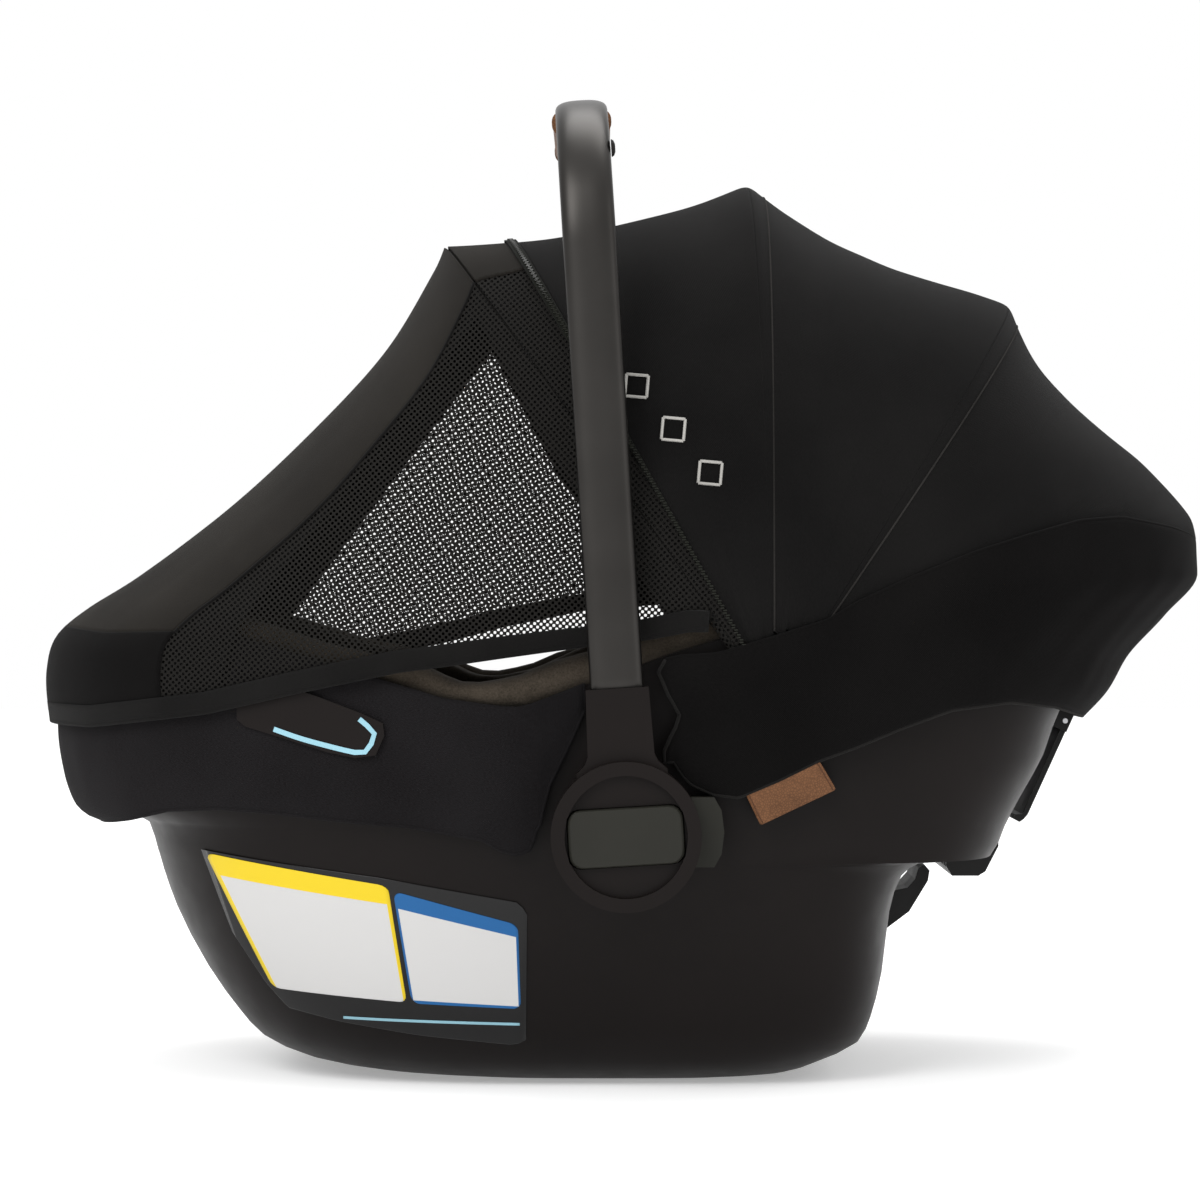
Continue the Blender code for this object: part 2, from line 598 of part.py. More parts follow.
def make_handle(looks):
    path = handle_path()
    section = oval(TUBE_WIDTH, TUBE_THICK)
    tube = sweep("handle_tube", path, (1, 0, 0), section, looks["anthracite"])

    bar = [p for p in path if abs(p[1]) < 0.0701]
    ends = [(0, s * GRIP_HALF, np.interp(GRIP_HALF, [p[1] for p in bar], [p[2] for p in bar])) for s in (-1, 1)]
    bar = [ends[0], *[p for p in bar if abs(p[1]) < GRIP_HALF - 0.01], ends[1]]
    outer = section_rings(bar, (1, 0, 0), oval(TUBE_WIDTH + 2 * GRIP_WALL, TUBE_THICK + 2 * GRIP_WALL, 20, 2.6))
    grip = loft("handle_grip", outer, looks["leather"])
    hole_path = [(0, -0.08, bar[0][2]), *bar[1:-1], (0, 0.08, bar[-1][2])]
    hole = sweep("cut_grip", hole_path, (1, 0, 0), oval(TUBE_WIDTH + 0.0012, TUBE_THICK + 0.0012), None)
    cut(grip, hole)
    place_on_handle(tube, grip, hole)

    for side, sign in SIDES:
        make_socket(side, sign, looks)
        stud_z = 0.3730
        reach = math.sqrt(TUBE_BEND**2 - (stud_z - (HANDLE_RISE - TUBE_THICK / 2 - TUBE_ARCH - TUBE_BEND)) ** 2)
        stud_y = sign * (TUBE_Y - TUBE_BEND + reach)
        turns = [2 * math.pi * i / 12 for i in range(12)]
        rings = [
            [Vector((x, stud_y + r * math.cos(a), stud_z + r * math.sin(a))) for a in turns]
            for x, r in ((TUBE_WIDTH / 2 + GAP, 0.0050), (TUBE_WIDTH / 2 + 0.0018, 0.0042), (TUBE_WIDTH / 2 + 0.0026, 0.0022))
        ]
        place_on_handle(loft(f"handle_bumper_{side}", rings, looks["rubber"]))


def make_socket(side, sign, looks):
    """The plastic hub and arm at one end of the handle, its lock button and spring."""
    socket = cylinder(
        f"handle_socket_{side}", (0, 0), HUB_RADIUS, sign * HUB_INNER_Y, sign * HUB_OUTER_Y, looks["trim"], 44
    )
    half = SOCKET_WIDTH / 2
    arm_outline = [
        (-half, SOCKET_TOP), (-half - 0.0010, 0.0435), (-half - 0.0028, 0.0395), (-half - 0.0075, 0.0350),
        (-half - 0.0080, 0.0100),
    ]
    arm_outline += [(-x, z) for x, z in reversed(arm_outline)]
    low, high = sign * (TUBE_Y - SOCKET_THICK / 2), sign * (TUBE_Y + SOCKET_THICK / 2)
    arm = loft(f"cut_arm_{side}", [[Vector((x, y, z)) for x, z in arm_outline] for y in (low, high)], None)
    combine(socket, arm, "UNION")
    dish = cylinder(
        f"cut_dish_{side}", (0, 0), DISH_RADIUS, sign * (HUB_OUTER_Y - DISH_DEPTH), sign * 0.240, None, 40
    )
    bore = cylinder(
        f"cut_bore_{side}", (0, 0), HUB_PIN_RADIUS + GAP, sign * 0.190,
        sign * (0.1955 + HUB_PIN_LENGTH + GAP), None, 24,
    )
    slot_outline = rounded_rectangle(BUTTON_WIDTH + 0.0008, BUTTON_HEIGHT + 0.0008, BUTTON_CORNER)
    slot = loft(
        f"cut_slot_{side}",
        [[Vector((x, y, z)) for x, z in slot_outline] for y in (sign * SLOT_FLOOR_Y, sign * 0.240)],
        None,
    )
    pocket = sweep(
        f"cut_pocket_{side}", [(0, sign * TUBE_Y, 0.0550), (0, sign * TUBE_Y, 0.120)], (1, 0, 0),
        oval(TUBE_WIDTH + 0.0010, TUBE_THICK + 0.0010), None,
    )
    cut(socket, dish, bore, slot, pocket)

    outline = rounded_rectangle(BUTTON_WIDTH, BUTTON_HEIGHT, BUTTON_CORNER)
    crown = [(0.0, 1.0), (0.80, 1.0), (0.95, 0.985), (1.0, 0.95)]  # depth share, size share
    depth = BUTTON_OUTER_Y - BUTTON_INNER_Y
    rings = [
        [Vector((x * size, sign * (BUTTON_INNER_Y + depth * share), z * size)) for x, z in outline]
        for share, size in crown
    ]
    button = loft(f"handle_button_{side}", rings, looks["grey"])

    turns, steps, radius, wire = 2, 12, 0.0080, 0.0005
    start, end = SLOT_FLOOR_Y + wire + GAP, BUTTON_INNER_Y - wire - GAP
    coil = []
    for i in range(int(turns * steps) + 1):
        a = 2 * math.pi * i / steps
        y = sign * (start + (end - start) * i / (turns * steps))
        ring = []
        for k in range(5):
            b = 2 * math.pi * k / 5
            r = radius + wire * math.cos(b)
            ring.append(Vector((r * math.cos(a), y + wire * math.sin(b), r * math.sin(a))))
        coil.append(ring)
    spring = loft(f"button_spring_{side}", coil, looks["steel"])
    place_on_handle(socket, arm, dish, bore, slot, pocket, button, spring)


# ---------------------------------------------------------------- canopy
def bow_curve(top, half, inset, start=0.030, count=25):
    """Points along a bow: from one side of the pivot, over its top at (x, z), to the other side.

    The curve is a superellipse in the plane through the pivot axis and the top."""
    radial = Vector((top[0], 0, top[1])) - PIVOT
    reach, direction = radial.length - inset, radial.normalized()
    first = math.asin((start / reach) ** (BOW_POWER / 2))
    points = []
    for i in range(count):
        turn = first + (math.pi - 2 * first) * i / (count - 1)
        c, s = math.cos(turn), math.sin(turn)
        y = -math.copysign((half - inset) * abs(c) ** (2 / BOW_POWER), c)
        points.append(PIVOT + direction * (reach * s ** (2 / BOW_POWER)) + Vector((0, y, 0)))
    return points


def make_bow(name, top, half, look):
    """A flat hoop with a round eye at each end, on the canopy pins."""
    path = bow_curve(top, half, PANEL_THICK + BOW_CLEAR + BOW_THICK / 2, 0.006, 27)
    radial = (Vector((top[0], 0, top[1])) - PIVOT).normalized()
    wide = radial.cross(Vector((0, 1, 0)))
    y = abs(path[0].y)
    bow = sweep(name, path, wide, oval(BOW_WIDE, BOW_THICK, 8, 3.0), look)
    for side, sign in SIDES:
        eye = cylinder(
            f"cut_{name}_eye_{side}", (PIVOT.x, PIVOT.z), 0.0085,
            sign * (y - BOW_THICK / 2 + 0.0001), sign * (y + BOW_THICK / 2 - 0.0001), None, 20,
        )
        combine(bow, eye, "UNION")
    cut(bow, cylinder(f"cut_{name}_pins", (PIVOT.x, PIVOT.z), 0.0035, -0.25, 0.25, None, 16))
    return bow


def panel_curves(top_a, top_b, sag, inset, steps, trim=0.0):
    """Curves of a fabric panel that spans from one bow top to the next and sags between them."""
    a, b = Vector((top_a[0], 0, top_a[1])), Vector((top_b[0], 0, top_b[1]))
    curves = []
    for i in range(steps + 1):
        s = trim + (1 - 2 * trim) * i / steps
        top = a.lerp(b, s)
        top -= (top - PIVOT).normalized() * (sag * 4 * s * (1 - s))
        curves.append(bow_curve((top.x, top.z), PANEL_HALF, inset, 0.030, 21))
    return curves


def make_panel(name, top_a, top_b, sag, look):
    outer = panel_curves(top_a, top_b, sag, 0.0, 4, 0.004)
    inner = panel_curves(top_a, top_b, sag, PANEL_THICK, 4, 0.004)
    panel = slab(name, outer, inner, look)
    line = [(-0.36, 0.2440), *BOOT_SEAM]
    combine(panel, prism(f"cut_{name}_seam", above(line, 0.0012), 0.3), "INTERSECT")
    return panel


def make_canopy(looks):
    make_bow("front_bow", FRONT_TOP, 0.1908, looks["black_plastic"])
    make_bow("mid_bow", MID_TOP, 0.1876, looks["black_plastic"])
    make_bow("rear_bow", REAR_TOP, 0.1844, looks["black_plastic"])
    make_panel("canopy_panel_rear", TAIL_TOP, REAR_TOP, 0.006, looks["black_fabric"])
    make_panel("canopy_panel_mid", REAR_TOP, MID_TOP, 0.009, looks["black_fabric"])
    make_panel("canopy_panel_front", MID_TOP, FRONT_TOP, 0.008, looks["black_fabric"])

    a, b = Vector((MID_TOP[0], 0, MID_TOP[1])), Vector((FRONT_TOP[0], 0, FRONT_TOP[1]))
    rows = []
    for inset in (-0.0036, -0.0014):
        curves = []
        for s in (0.775, 0.810):
            top = a.lerp(b, s)
            top -= (top - PIVOT).normalized() * (0.008 * 4 * s * (1 - s))
            curves.append(bow_curve((top.x, top.z), PANEL_HALF, inset, 0.034))
        rows.append(curves)
    zip_strip = slab("canopy_zip", rows[0], rows[1], looks["zip"])
    line = [(-0.36, 0.2440), *BOOT_SEAM]
    combine(zip_strip, prism("cut_zip_seam", above(line, 0.0012), 0.3), "INTERSECT")

    for side, sign in SIDES:
        mount = cylinder(
            f"canopy_mount_{side}", (PIVOT.x, PIVOT.z), 0.0090, sign * 0.150, sign * 0.1766, looks["black_plastic"], 20
        )
        pin = cylinder(f"cut_canopy_pin_{side}", (PIVOT.x, PIVOT.z), 0.0030, sign * 0.160, sign * 0.1871, None, 16)
        combine(mount, pin, "UNION")
        cut(mount, form(f"cut_canopy_mount_{side}", SHELL, -GAP, SHELL_POWERS))


def hem_height(x):
    """Height of the drape's lower edge along the carrier."""
    return float(np.interp(x, *np.array(HEM_LINE).T))


def hem_point(v, inset):
    """A point on the drape's lower edge, v of the way across: a straight run, round the foot end, a straight run."""
    straight = 0.13
    half, foot = 0.1897 - inset, DRAPE_RIDGE[-1][0] + inset
    turn = math.pi * min(max((v - straight) / (1 - 2 * straight), 0), 1)
    c, s = math.cos(turn), math.sin(turn)
    x = PLAN_CENTRE + (foot - PLAN_CENTRE) * s ** (2 / SHELL_POWERS[0])
    y = -math.copysign(half * abs(c) ** (2 / SHELL_POWERS[0]), c)
    x += 0.065 * max(1 - v / straight, 1 - (1 - v) / straight, 0)
    return Vector((x, y, hem_height(x)))


def drape_curves(inset, rows, cols, low=0.0, high=1.0, left=0.0, right=1.0):
    """The foot drape as curves from the front bow (row 0) to the hem (last row).

    low and high are shares of the way from bow to hem; left and right of the way across."""
    ridge = np.array(smooth_path(DRAPE_RIDGE, 41))
    start, end = ridge[0], ridge[-1]
    length = np.concatenate([[0], np.cumsum(np.linalg.norm(np.diff(ridge, axis=0), axis=1))])
    length /= length[-1]
    offset = ridge - (start + (end - start) * length[:, None])
    bow = bow_curve((start[0], start[1]), PANEL_HALF, inset, 0.062, 81)
    curves = []
    for i in range(rows + 1):
        t = low + (high - low) * i / rows
        shift = [float(np.interp(t, length, offset[:, k])) for k in (0, 1)]
        curve = []
        for j in range(cols + 1):
            v = left + (right - left) * j / cols
            at = min(int(v * 80), 79)
            first, hem = bow[at].lerp(bow[at + 1], v * 80 - at), hem_point(v, inset)
            swell = math.sin(math.pi * v) ** 1.2
            point = first.lerp(hem, t)
            point += Vector((shift[0] * swell, hem.y / 0.19 * 0.002 * math.sin(math.pi * t), shift[1] * swell))
            curve.append(point)
        curves.append(curve)
    return curves


def make_drape(looks):
    split, end = 0.30, 0.955  # share across where mesh becomes solid cloth; share down where the hem band starts
    seam = 0.004
    pieces = (
        ("drape_mesh_right", 0.0, split - seam, "mesh"),
        ("drape_top", split, 1 - split, "black_fabric"),
        ("drape_mesh_left", 1 - split + seam, 1.0, "mesh"),
    )
    for name, left, right, look in pieces:
        cols = 14 if name == "drape_top" else 8
        outer = drape_curves(0.0, 10, cols, 0.0, end - 0.012, left, right)
        inner = drape_curves(DRAPE_THICK, 10, cols, 0.0, end - 0.012, left, right)
        for rows in (outer, inner):
            for point in rows[0]:
                point.x -= 0.0022
        slab(name, outer, inner, looks[look])
    outer = drape_curves(-0.0006, 1, 30, end, 1.0)
    inner = drape_curves(DRAPE_THICK + 0.0006, 1, 30, end, 1.0)
    slab("drape_hem", outer, inner, looks["black_fabric"])


# ---------------------------------------------------------------- seat fittings and harness
def on_back(s, out):
    """A point s metres up the seat back from the seat's crease, out metres off the pad."""
    return Vector((0.0300, 0, 0.1040)) + BACK_ALONG * s + BACK_OUT * out


def ribbon(name, points, width, thick, look, count=12):
    """A flat strap through hand-chosen points (x, y, z), its width across the seat."""
    path = smooth_path(points, count)
    return sweep(name, path, (0, 1, 0), oval(width, thick, 8, 5.0), look)


def make_inserts(looks):
    """The newborn insert on the seat and the horseshoe head support, both trimmed to the bowl."""
    line = [(-0.125, 0, 0.1060), (-0.090, 0, 0.0930), (-0.050, 0, 0.0870), (-0.010, 0, 0.0945)]
    line += [tuple(on_back(s, 0.0100)) for s in (0.030, 0.070, 0.105)]
    insert = ribbon("newborn_insert", line, 0.150, 0.014, looks["pad"], 14)
    combine(insert, form("cut_insert_bowl", BOWL, 0.0126, BOWL_POWERS), "INTERSECT")

    outer = [(0.098 * math.cos(a), 0.070 * math.sin(a)) for a in np.linspace(-0.55, math.pi + 0.55, 17)]
    inner = [(0.052 * math.cos(a), 0.042 * math.sin(a)) for a in np.linspace(math.pi + 0.50, -0.50, 13)]
    origin = on_back(0.150, 0.0006)
    head = block("head_support", outer + inner, 0.034, origin, (0, -1, 0), BACK_ALONG, looks["pad"])
    combine(head, form("cut_head_bowl", BOWL, 0.0126, BOWL_POWERS), "INTERSECT")


def lifted(path, lift):
    """A strap's path moved off to its outer side."""
    moved = []
    for i, point in enumerate(path):
        before, after = path[max(i - 1, 0)], path[min(i + 1, len(path) - 1)]
        tangent = (Vector(after) - Vector(before)).normalized()
        moved.append(Vector(point) + tangent.cross(Vector((0, 1, 0))).normalized() * lift)
    return moved


def make_harness(looks):
    along, across = Vector((0.80, 0, 0.60)), Vector((0, -1, 0))
    out = across.cross(along)
    base = Vector((-0.0520, 0, 0.1190))
    housing_size, button_size = (0.0440, 0.0560), (0.0240, 0.0220)
    housing = block(
        "buckle_housing", rounded_rectangle(*housing_size, 0.008, 3), 0.0150, base, across, along,
        looks["black_plastic"],
    )
    well = rounded_rectangle(button_size[0] + 0.0008, button_size[1] + 0.0008, 0.003, 2)
    cut(housing, block("cut_buckle_well", well, 0.02, base - along * 0.006 + out * 0.0050, across, along, None))
    block(
        "buckle_button", rounded_rectangle(*button_size, 0.003, 2), 0.0062,
        base - along * 0.006 + out * 0.0100, across, along, looks["red"],
    )
    ribbon(
        "crotch_strap", [(-0.0945, 0, 0.1045), (-0.0880, 0, 0.1052), (-0.0800, 0, 0.1080)], 0.0300, 0.0018,
        looks["webbing"], 4,
    )
    tongue_at = base + along * (housing_size[1] / 2 + 0.0109) + out * 0.0060
    for side, sign in SIDES:
        tongue = [(0.0, -0.0105), (0.0150, -0.0095), (0.0165, 0.0060), (0.0100, 0.0165), (0.0, 0.0165)]
        outline = [(-sign * (0.0012 + u), v) for u, v in tongue]
        block(f"buckle_tongue_{side}", outline, 0.0030, tongue_at, across, along, looks["steel"])
        over, lap = tongue_at + along * 0.0170 + out * 0.0066, tongue_at + along * 0.0060 + out * 0.0054
        points = [
            tuple(on_back(s, lift) + Vector((0, sign * y, 0)))
            for s, lift, y in ((0.1170, 0.0085, 0.030), (0.1000, 0.0215, 0.031), (0.0600, 0.0250, 0.030), (0.0200, 0.0450, 0.022))
        ]
        points += [(p.x, sign * 0.0140, p.z) for p in (over, lap)]
        path = smooth_path(points, 16)
        sweep(f"shoulder_strap_{side}", path, (0, 1, 0), oval(0.0250, 0.0016, 8, 5.0), looks["webbing"])
        pad_path = lifted(path[3:10], -0.0044)
        sweep(f"shoulder_pad_{side}", pad_path, (0, 1, 0), oval(0.0460, 0.0060, 8, 5.0), looks["charcoal"])
        hip = [
            (tongue_at.x + 0.0015, 0.0187, tongue_at.z - 0.002), (-0.0160, 0.0350, 0.1440),
            (-0.0120, 0.0520, 0.1330), (-0.0070, 0.0700, 0.1190), (-0.0020, 0.0860, 0.1060),
        ]
        hip_path = smooth_path([(x, sign * y, z) for x, y, z in hip], 8)
        sweep(f"hip_strap_{side}", hip_path, (1, 0, 0.35), oval(0.0250, 0.0016, 8, 5.0), looks["webbing"])

    clip = [
        (-0.0360, 0.0), (-0.0340, -0.0100), (0.0340, -0.0100), (0.0360, 0.0), (0.0340, 0.0100), (-0.0340, 0.0100),
    ]
    block("chest_clip", clip, 0.0050, on_back(0.0330, 0.0480), (0, -1, 0), BACK_ALONG, looks["black_plastic"])

    slope = Vector((-0.64, 0, 0.77)).normalized()
    up = Vector((0, 1, 0)).cross(slope)
    at = Vector((-0.1822, 0, 0.1506))
    bezel = block(
        "adjuster_bezel", rounded_rectangle(0.0340, 0.0420, 0.006, 2), 0.0060, at, (0, 1, 0), slope,
        looks["black_plastic"],
    )
    hole = rounded_rectangle(0.0208, 0.0248, 0.003, 2)
    cut(bezel, block("cut_bezel", hole, 0.03, at - up * 0.01, (0, 1, 0), slope, None))
    block(
        "adjuster_button", rounded_rectangle(0.0200, 0.0240, 0.003, 2), 0.0070, at + up * 0.0004, (0, 1, 0), slope,
        looks["grey"],
    )


def main():
    clear_scene()
    looks = {
        "shell": material("shell_plastic", (0.016, 0.012, 0.011), 0.48),
        "trim": material("trim_plastic", (0.030, 0.023, 0.021), 0.42),
        "black_plastic": material("black_plastic", (0.010, 0.010, 0.010), 0.40),
        "grey": material("grey_plastic", (0.052, 0.054, 0.045), 0.42),
        "anthracite": material("anodised_tube", (0.060, 0.055, 0.052), 0.38, 0.8),
        "steel": material("steel", (0.55, 0.55, 0.56), 0.30, 1.0),
        "rubber": material("rubber", (0.020, 0.018, 0.017), 0.75),
        "leather": material("leatherette", (0.210, 0.095, 0.048), 0.60),
        "black_fabric": material("black_fabric", (0.011, 0.010, 0.0095), 0.92),
        "charcoal": material("charcoal_fabric", (0.017, 0.016, 0.018), 0.92),
        "pad": material("taupe_pad", (0.080, 0.066, 0.054), 0.95),
        "mesh": material("mesh_fabric", (0.012, 0.012, 0.012), 0.85),
        "zip": material("zip_tape", (0.010, 0.011, 0.008), 0.60),
        "webbing": material("webbing", (0.020, 0.020, 0.021), 0.80),
        "foam": material("foam", (0.030, 0.030, 0.032), 0.95),
        "blue": material("belt_path_blue", (0.30, 0.60, 0.72), 0.50),
        "label": material("label_vinyl", (0.75, 0.75, 0.76), 0.45),
        "red": material("button_red", (0.55, 0.02, 0.02), 0.40),
    }
    make_shell(looks)
    make_covers(looks)
    make_belt_guides(looks)
    make_hub_mounts(looks)
    make_rear_parts(looks)
    make_lever(looks)
    make_labels(looks)
    make_leather_tag(looks)
    make_handle(looks)
    make_canopy(looks)
    make_drape(looks)
    make_inserts(looks)
    make_harness(looks)


main()
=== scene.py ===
"""The infant car seat's looks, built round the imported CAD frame.

Hard pieces keep their CAD meshes, with bevels and procedural materials. Cloth, padding and webbing are
new, finer pieces that stand for the plain CAD solids and follow the same bodies.
"""

import json
import math

import bmesh
import bpy
import numpy as np
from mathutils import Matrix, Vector


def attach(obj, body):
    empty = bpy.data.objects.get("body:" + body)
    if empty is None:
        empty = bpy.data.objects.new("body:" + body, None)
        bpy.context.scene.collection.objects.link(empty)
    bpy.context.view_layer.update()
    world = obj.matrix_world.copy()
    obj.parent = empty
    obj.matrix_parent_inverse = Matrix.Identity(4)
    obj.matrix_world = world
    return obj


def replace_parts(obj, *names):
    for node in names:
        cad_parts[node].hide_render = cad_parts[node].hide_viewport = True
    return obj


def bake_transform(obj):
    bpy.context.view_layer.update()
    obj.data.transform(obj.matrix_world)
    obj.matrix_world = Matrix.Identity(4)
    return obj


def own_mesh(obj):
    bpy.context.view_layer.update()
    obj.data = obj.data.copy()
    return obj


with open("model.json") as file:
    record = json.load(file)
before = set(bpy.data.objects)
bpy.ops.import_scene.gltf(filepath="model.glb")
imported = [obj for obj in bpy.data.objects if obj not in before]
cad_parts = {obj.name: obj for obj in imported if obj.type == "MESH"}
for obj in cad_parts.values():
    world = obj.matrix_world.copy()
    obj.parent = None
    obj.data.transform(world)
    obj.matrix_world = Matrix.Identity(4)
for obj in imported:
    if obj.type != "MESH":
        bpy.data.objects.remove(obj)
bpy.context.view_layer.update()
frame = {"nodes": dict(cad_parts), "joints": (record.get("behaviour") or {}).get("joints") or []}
bpy.context.scene.view_settings.view_transform = "Standard"

# ---------------------------------------------------------------- the part's own dimensions
JOINTS = {j["name"]: j for j in frame["joints"]}
PIVOT = np.array(JOINTS["rear_fold"]["pos_m"], float)
HUB = np.array(JOINTS["handle_swing"]["pos_m"], float)
HANDLE_LEAN = math.radians(-3.5)
HANDLE_RISE = 0.4115
TUBE_WIDTH, TUBE_THICK, TUBE_Y, TUBE_BEND, TUBE_ARCH = 0.0290, 0.0130, 0.2060, 0.0800, 0.004
GRIP_HALF, GRIP_WALL = 0.068, 0.0022

BOW_POWER = 3.4
PANEL_HALF = 0.1900
FRONT_TOP = np.array((-0.1030, 0.0, 0.4785))
MID_TOP = np.array((0.0711, 0.0, 0.5079))
REAR_TOP = np.array((0.2180, 0.0, 0.4405))
TAIL_TOP = np.array((0.3290, 0.0, 0.3205))
PLAN_CENTRE = -0.020

# Height, foot-end x, head-end x, half width
SHELL = [
    (0.000, -0.125, 0.075, 0.092), (0.003, -0.160, 0.100, 0.108), (0.009, -0.190, 0.115, 0.123),
    (0.020, -0.2138, 0.1365, 0.134), (0.034, -0.2266, 0.1430, 0.143), (0.060, -0.2450, 0.1490, 0.152),
    (0.095, -0.2630, 0.1530, 0.161), (0.116, -0.2704, 0.1600, 0.1655), (0.1255, -0.2731, 0.1750, 0.1675),
    (0.1275, -0.2738, 0.2110, 0.1680), (0.1440, -0.2790, 0.2190, 0.1705), (0.1510, -0.2950, 0.2225, 0.1715),
    (0.1640, -0.3130, 0.2295, 0.1730), (0.1850, -0.3190, 0.2410, 0.1745), (0.2180, -0.3215, 0.2520, 0.1755),
    (0.2500, -0.3215, 0.2690, 0.1760), (0.2850, -0.3200, 0.2840, 0.1760), (0.3300, -0.3200, 0.2960, 0.1755),
]
BOOT = [
    (0.140, -0.150, 0.235, 0.1836), (0.150, -0.150, 0.240, 0.1850), (0.195, -0.150, 0.256, 0.1912),
    (0.208, -0.150, 0.267, 0.1926), (0.222, -0.150, 0.279, 0.1935), (0.242, -0.150, 0.2905, 0.1940),
    (0.265, -0.150, 0.311, 0.1942), (0.2885, -0.150, 0.3305, 0.1942), (0.304, -0.150, 0.3305, 0.1940),
    (0.340, -0.150, 0.3235, 0.1935),
]
SHELL_POWERS, BOOT_POWERS = (2.8, 5.0), (4.0, 4.0)
# Side lines, as (x, z)
RIM = [
    (-0.3600, 0.2330), (-0.3100, 0.2380), (-0.2900, 0.2440), (-0.2500, 0.2520), (-0.2127, 0.2510),
    (-0.1646, 0.2375), (-0.1418, 0.2306),
    (-0.1005, 0.2181), (-0.0700, 0.2140), (-0.0592, 0.2133), (-0.0512, 0.2153), (-0.0222, 0.2259),
    (0.0200, 0.2420), (0.0500, 0.2520), (0.1500, 0.2760), (0.2500, 0.3000), (0.3600, 0.3200),
]
PAD_RIM = [
    (-0.3600, 0.2480), (-0.3050, 0.2560), (-0.2500, 0.2640), (-0.2127, 0.2613), (-0.1646, 0.2464),
    (-0.1122, 0.2347), (-0.0935, 0.2256), (-0.0777, 0.2250), (-0.0556, 0.2295), (-0.0233, 0.2434),
    (0.0200, 0.2530), (0.0500, 0.2620), (0.1500, 0.2860), (0.2500, 0.3090), (0.3600, 0.3290),
]
SKIRT = [
    (0.1250, -0.2800, 0.2190, 0.1750),
    (0.1400, -0.2930, 0.2250, 0.1775),
    (0.1440, -0.3010, 0.2270, 0.1780),
    (0.1480, -0.3140, 0.2290, 0.1787),
    (0.1540, -0.3215, 0.2320, 0.1793),
    (0.1600, -0.3245, 0.2350, 0.1800),
    (0.1720, -0.3280, 0.2420, 0.1808),
    (0.1955, -0.3310, 0.2530, 0.1822),
    (0.2030, -0.3312, 0.2550, 0.1826),
    (0.2600, -0.3312, 0.2800, 0.1832),
]
FOOT_COVER_EDGE = [
    (-0.3500, 0.1400), (-0.3138, 0.1440), (-0.2800, 0.1500), (-0.2563, 0.1560), (-0.2270, 0.1577),
    (-0.1954, 0.1560), (-0.1567, 0.1519), (-0.1200, 0.1490), (-0.0790, 0.1420), (-0.0690, 0.1360),
    (-0.0604, 0.1335), (-0.0530, 0.1360), (-0.0470, 0.1500), (-0.0430, 0.1695), (-0.0300, 0.1960),
    (-0.0220, 0.2150),
]
# The boot's lower edge; its front edge is the second table, as (z, x)
BOOT_EDGE = [
    (0.0300, 0.1850), (0.0310, 0.1790), (0.0362, 0.1726), (0.0479, 0.1673), (0.0620, 0.1655),
    (0.0845, 0.1751), (0.1057, 0.1855), (0.1271, 0.1932), (0.1513, 0.2032), (0.1790, 0.2130),
    (0.2120, 0.2170), (0.2396, 0.2140), (0.2560, 0.2090), (0.2700, 0.2050), (0.3600, 0.2050),
]
BOOT_FRONT = [
    (0.1726, 0.0300), (0.1850, 0.0285), (0.1903, 0.0278), (0.2033, 0.0327), (0.2104, 0.0338),
    (0.2220, 0.0256), (0.2335, 0.0197), (0.2400, 0.0230),
]
BOOT_SEAM = [
    (0.0197, 0.2352), (0.0256, 0.2390), (0.0349, 0.2418), (0.0504, 0.2430), (0.0775, 0.2510),
    (0.1103, 0.2612), (0.1271, 0.2712), (0.1550, 0.2840), (0.1930, 0.2990), (0.2220, 0.3080),
    (0.2510, 0.3160), (0.2750, 0.3180), (0.3060, 0.3130), (0.3600, 0.3000),
]
DRAPE_RIDGE = [
    (-0.1046, 0.4780), (-0.1115, 0.4630), (-0.1390, 0.4185), (-0.1805, 0.3718), (-0.2308, 0.3247),
    (-0.2830, 0.2872), (-0.3144, 0.2675), (-0.3325, 0.2515), (-0.3380, 0.2330), (-0.3378, 0.2150),
    (-0.3350, 0.2030),
]
HEM_RIGHT = [
    (-0.3290, 0.2030), (-0.3000, 0.2025), (-0.2310, 0.2110), (-0.1785, 0.2230), (-0.1230, 0.2345),
    (-0.0992, 0.2375), (-0.0684, 0.2420), (-0.0289, 0.2475), (0.0121, 0.2522), (0.0346, 0.2565),
]
HEM_LEFT = [
    (-0.3290, 0.2030), (-0.3000, 0.2025), (-0.2310, 0.2110), (-0.2000, 0.2210), (-0.1646, 0.2370),
    (-0.1459, 0.2405), (-0.1155, 0.2460), (-0.0770, 0.2563), (-0.0250, 0.2670), (0.0117, 0.2700),
    (0.0346, 0.2720),
]
# Lower edge of the dark lining behind the see-through sides
LINING = [
    (-0.2500, 0.1500), (-0.2118, 0.2613), (-0.0825, 0.4300), (-0.0410, 0.3526), (0.0117, 0.2792),
    (0.0600, 0.2100),
]
SIDES = (("left", 1), ("right", -1))
SHELL_WALL = 0.0034
COVER_THICK, BOOT_THICK, CANOPY_THICK, DRAPE_THICK, HEM_THICK = 0.0022, 0.0024, 0.0012, 0.0013, 0.0024

# ---------------------------------------------------------------- camera and light
camera = bpy.data.objects.new("camera", bpy.data.cameras.new("camera"))
bpy.context.scene.collection.objects.link(camera)
camera.location = (-0.014, -2.2, 0.2728)
camera.rotation_euler = (math.radians(90), 0, 0)
camera.data.sensor_width = 36
camera.data.lens = 110.9
bpy.context.scene.camera = camera


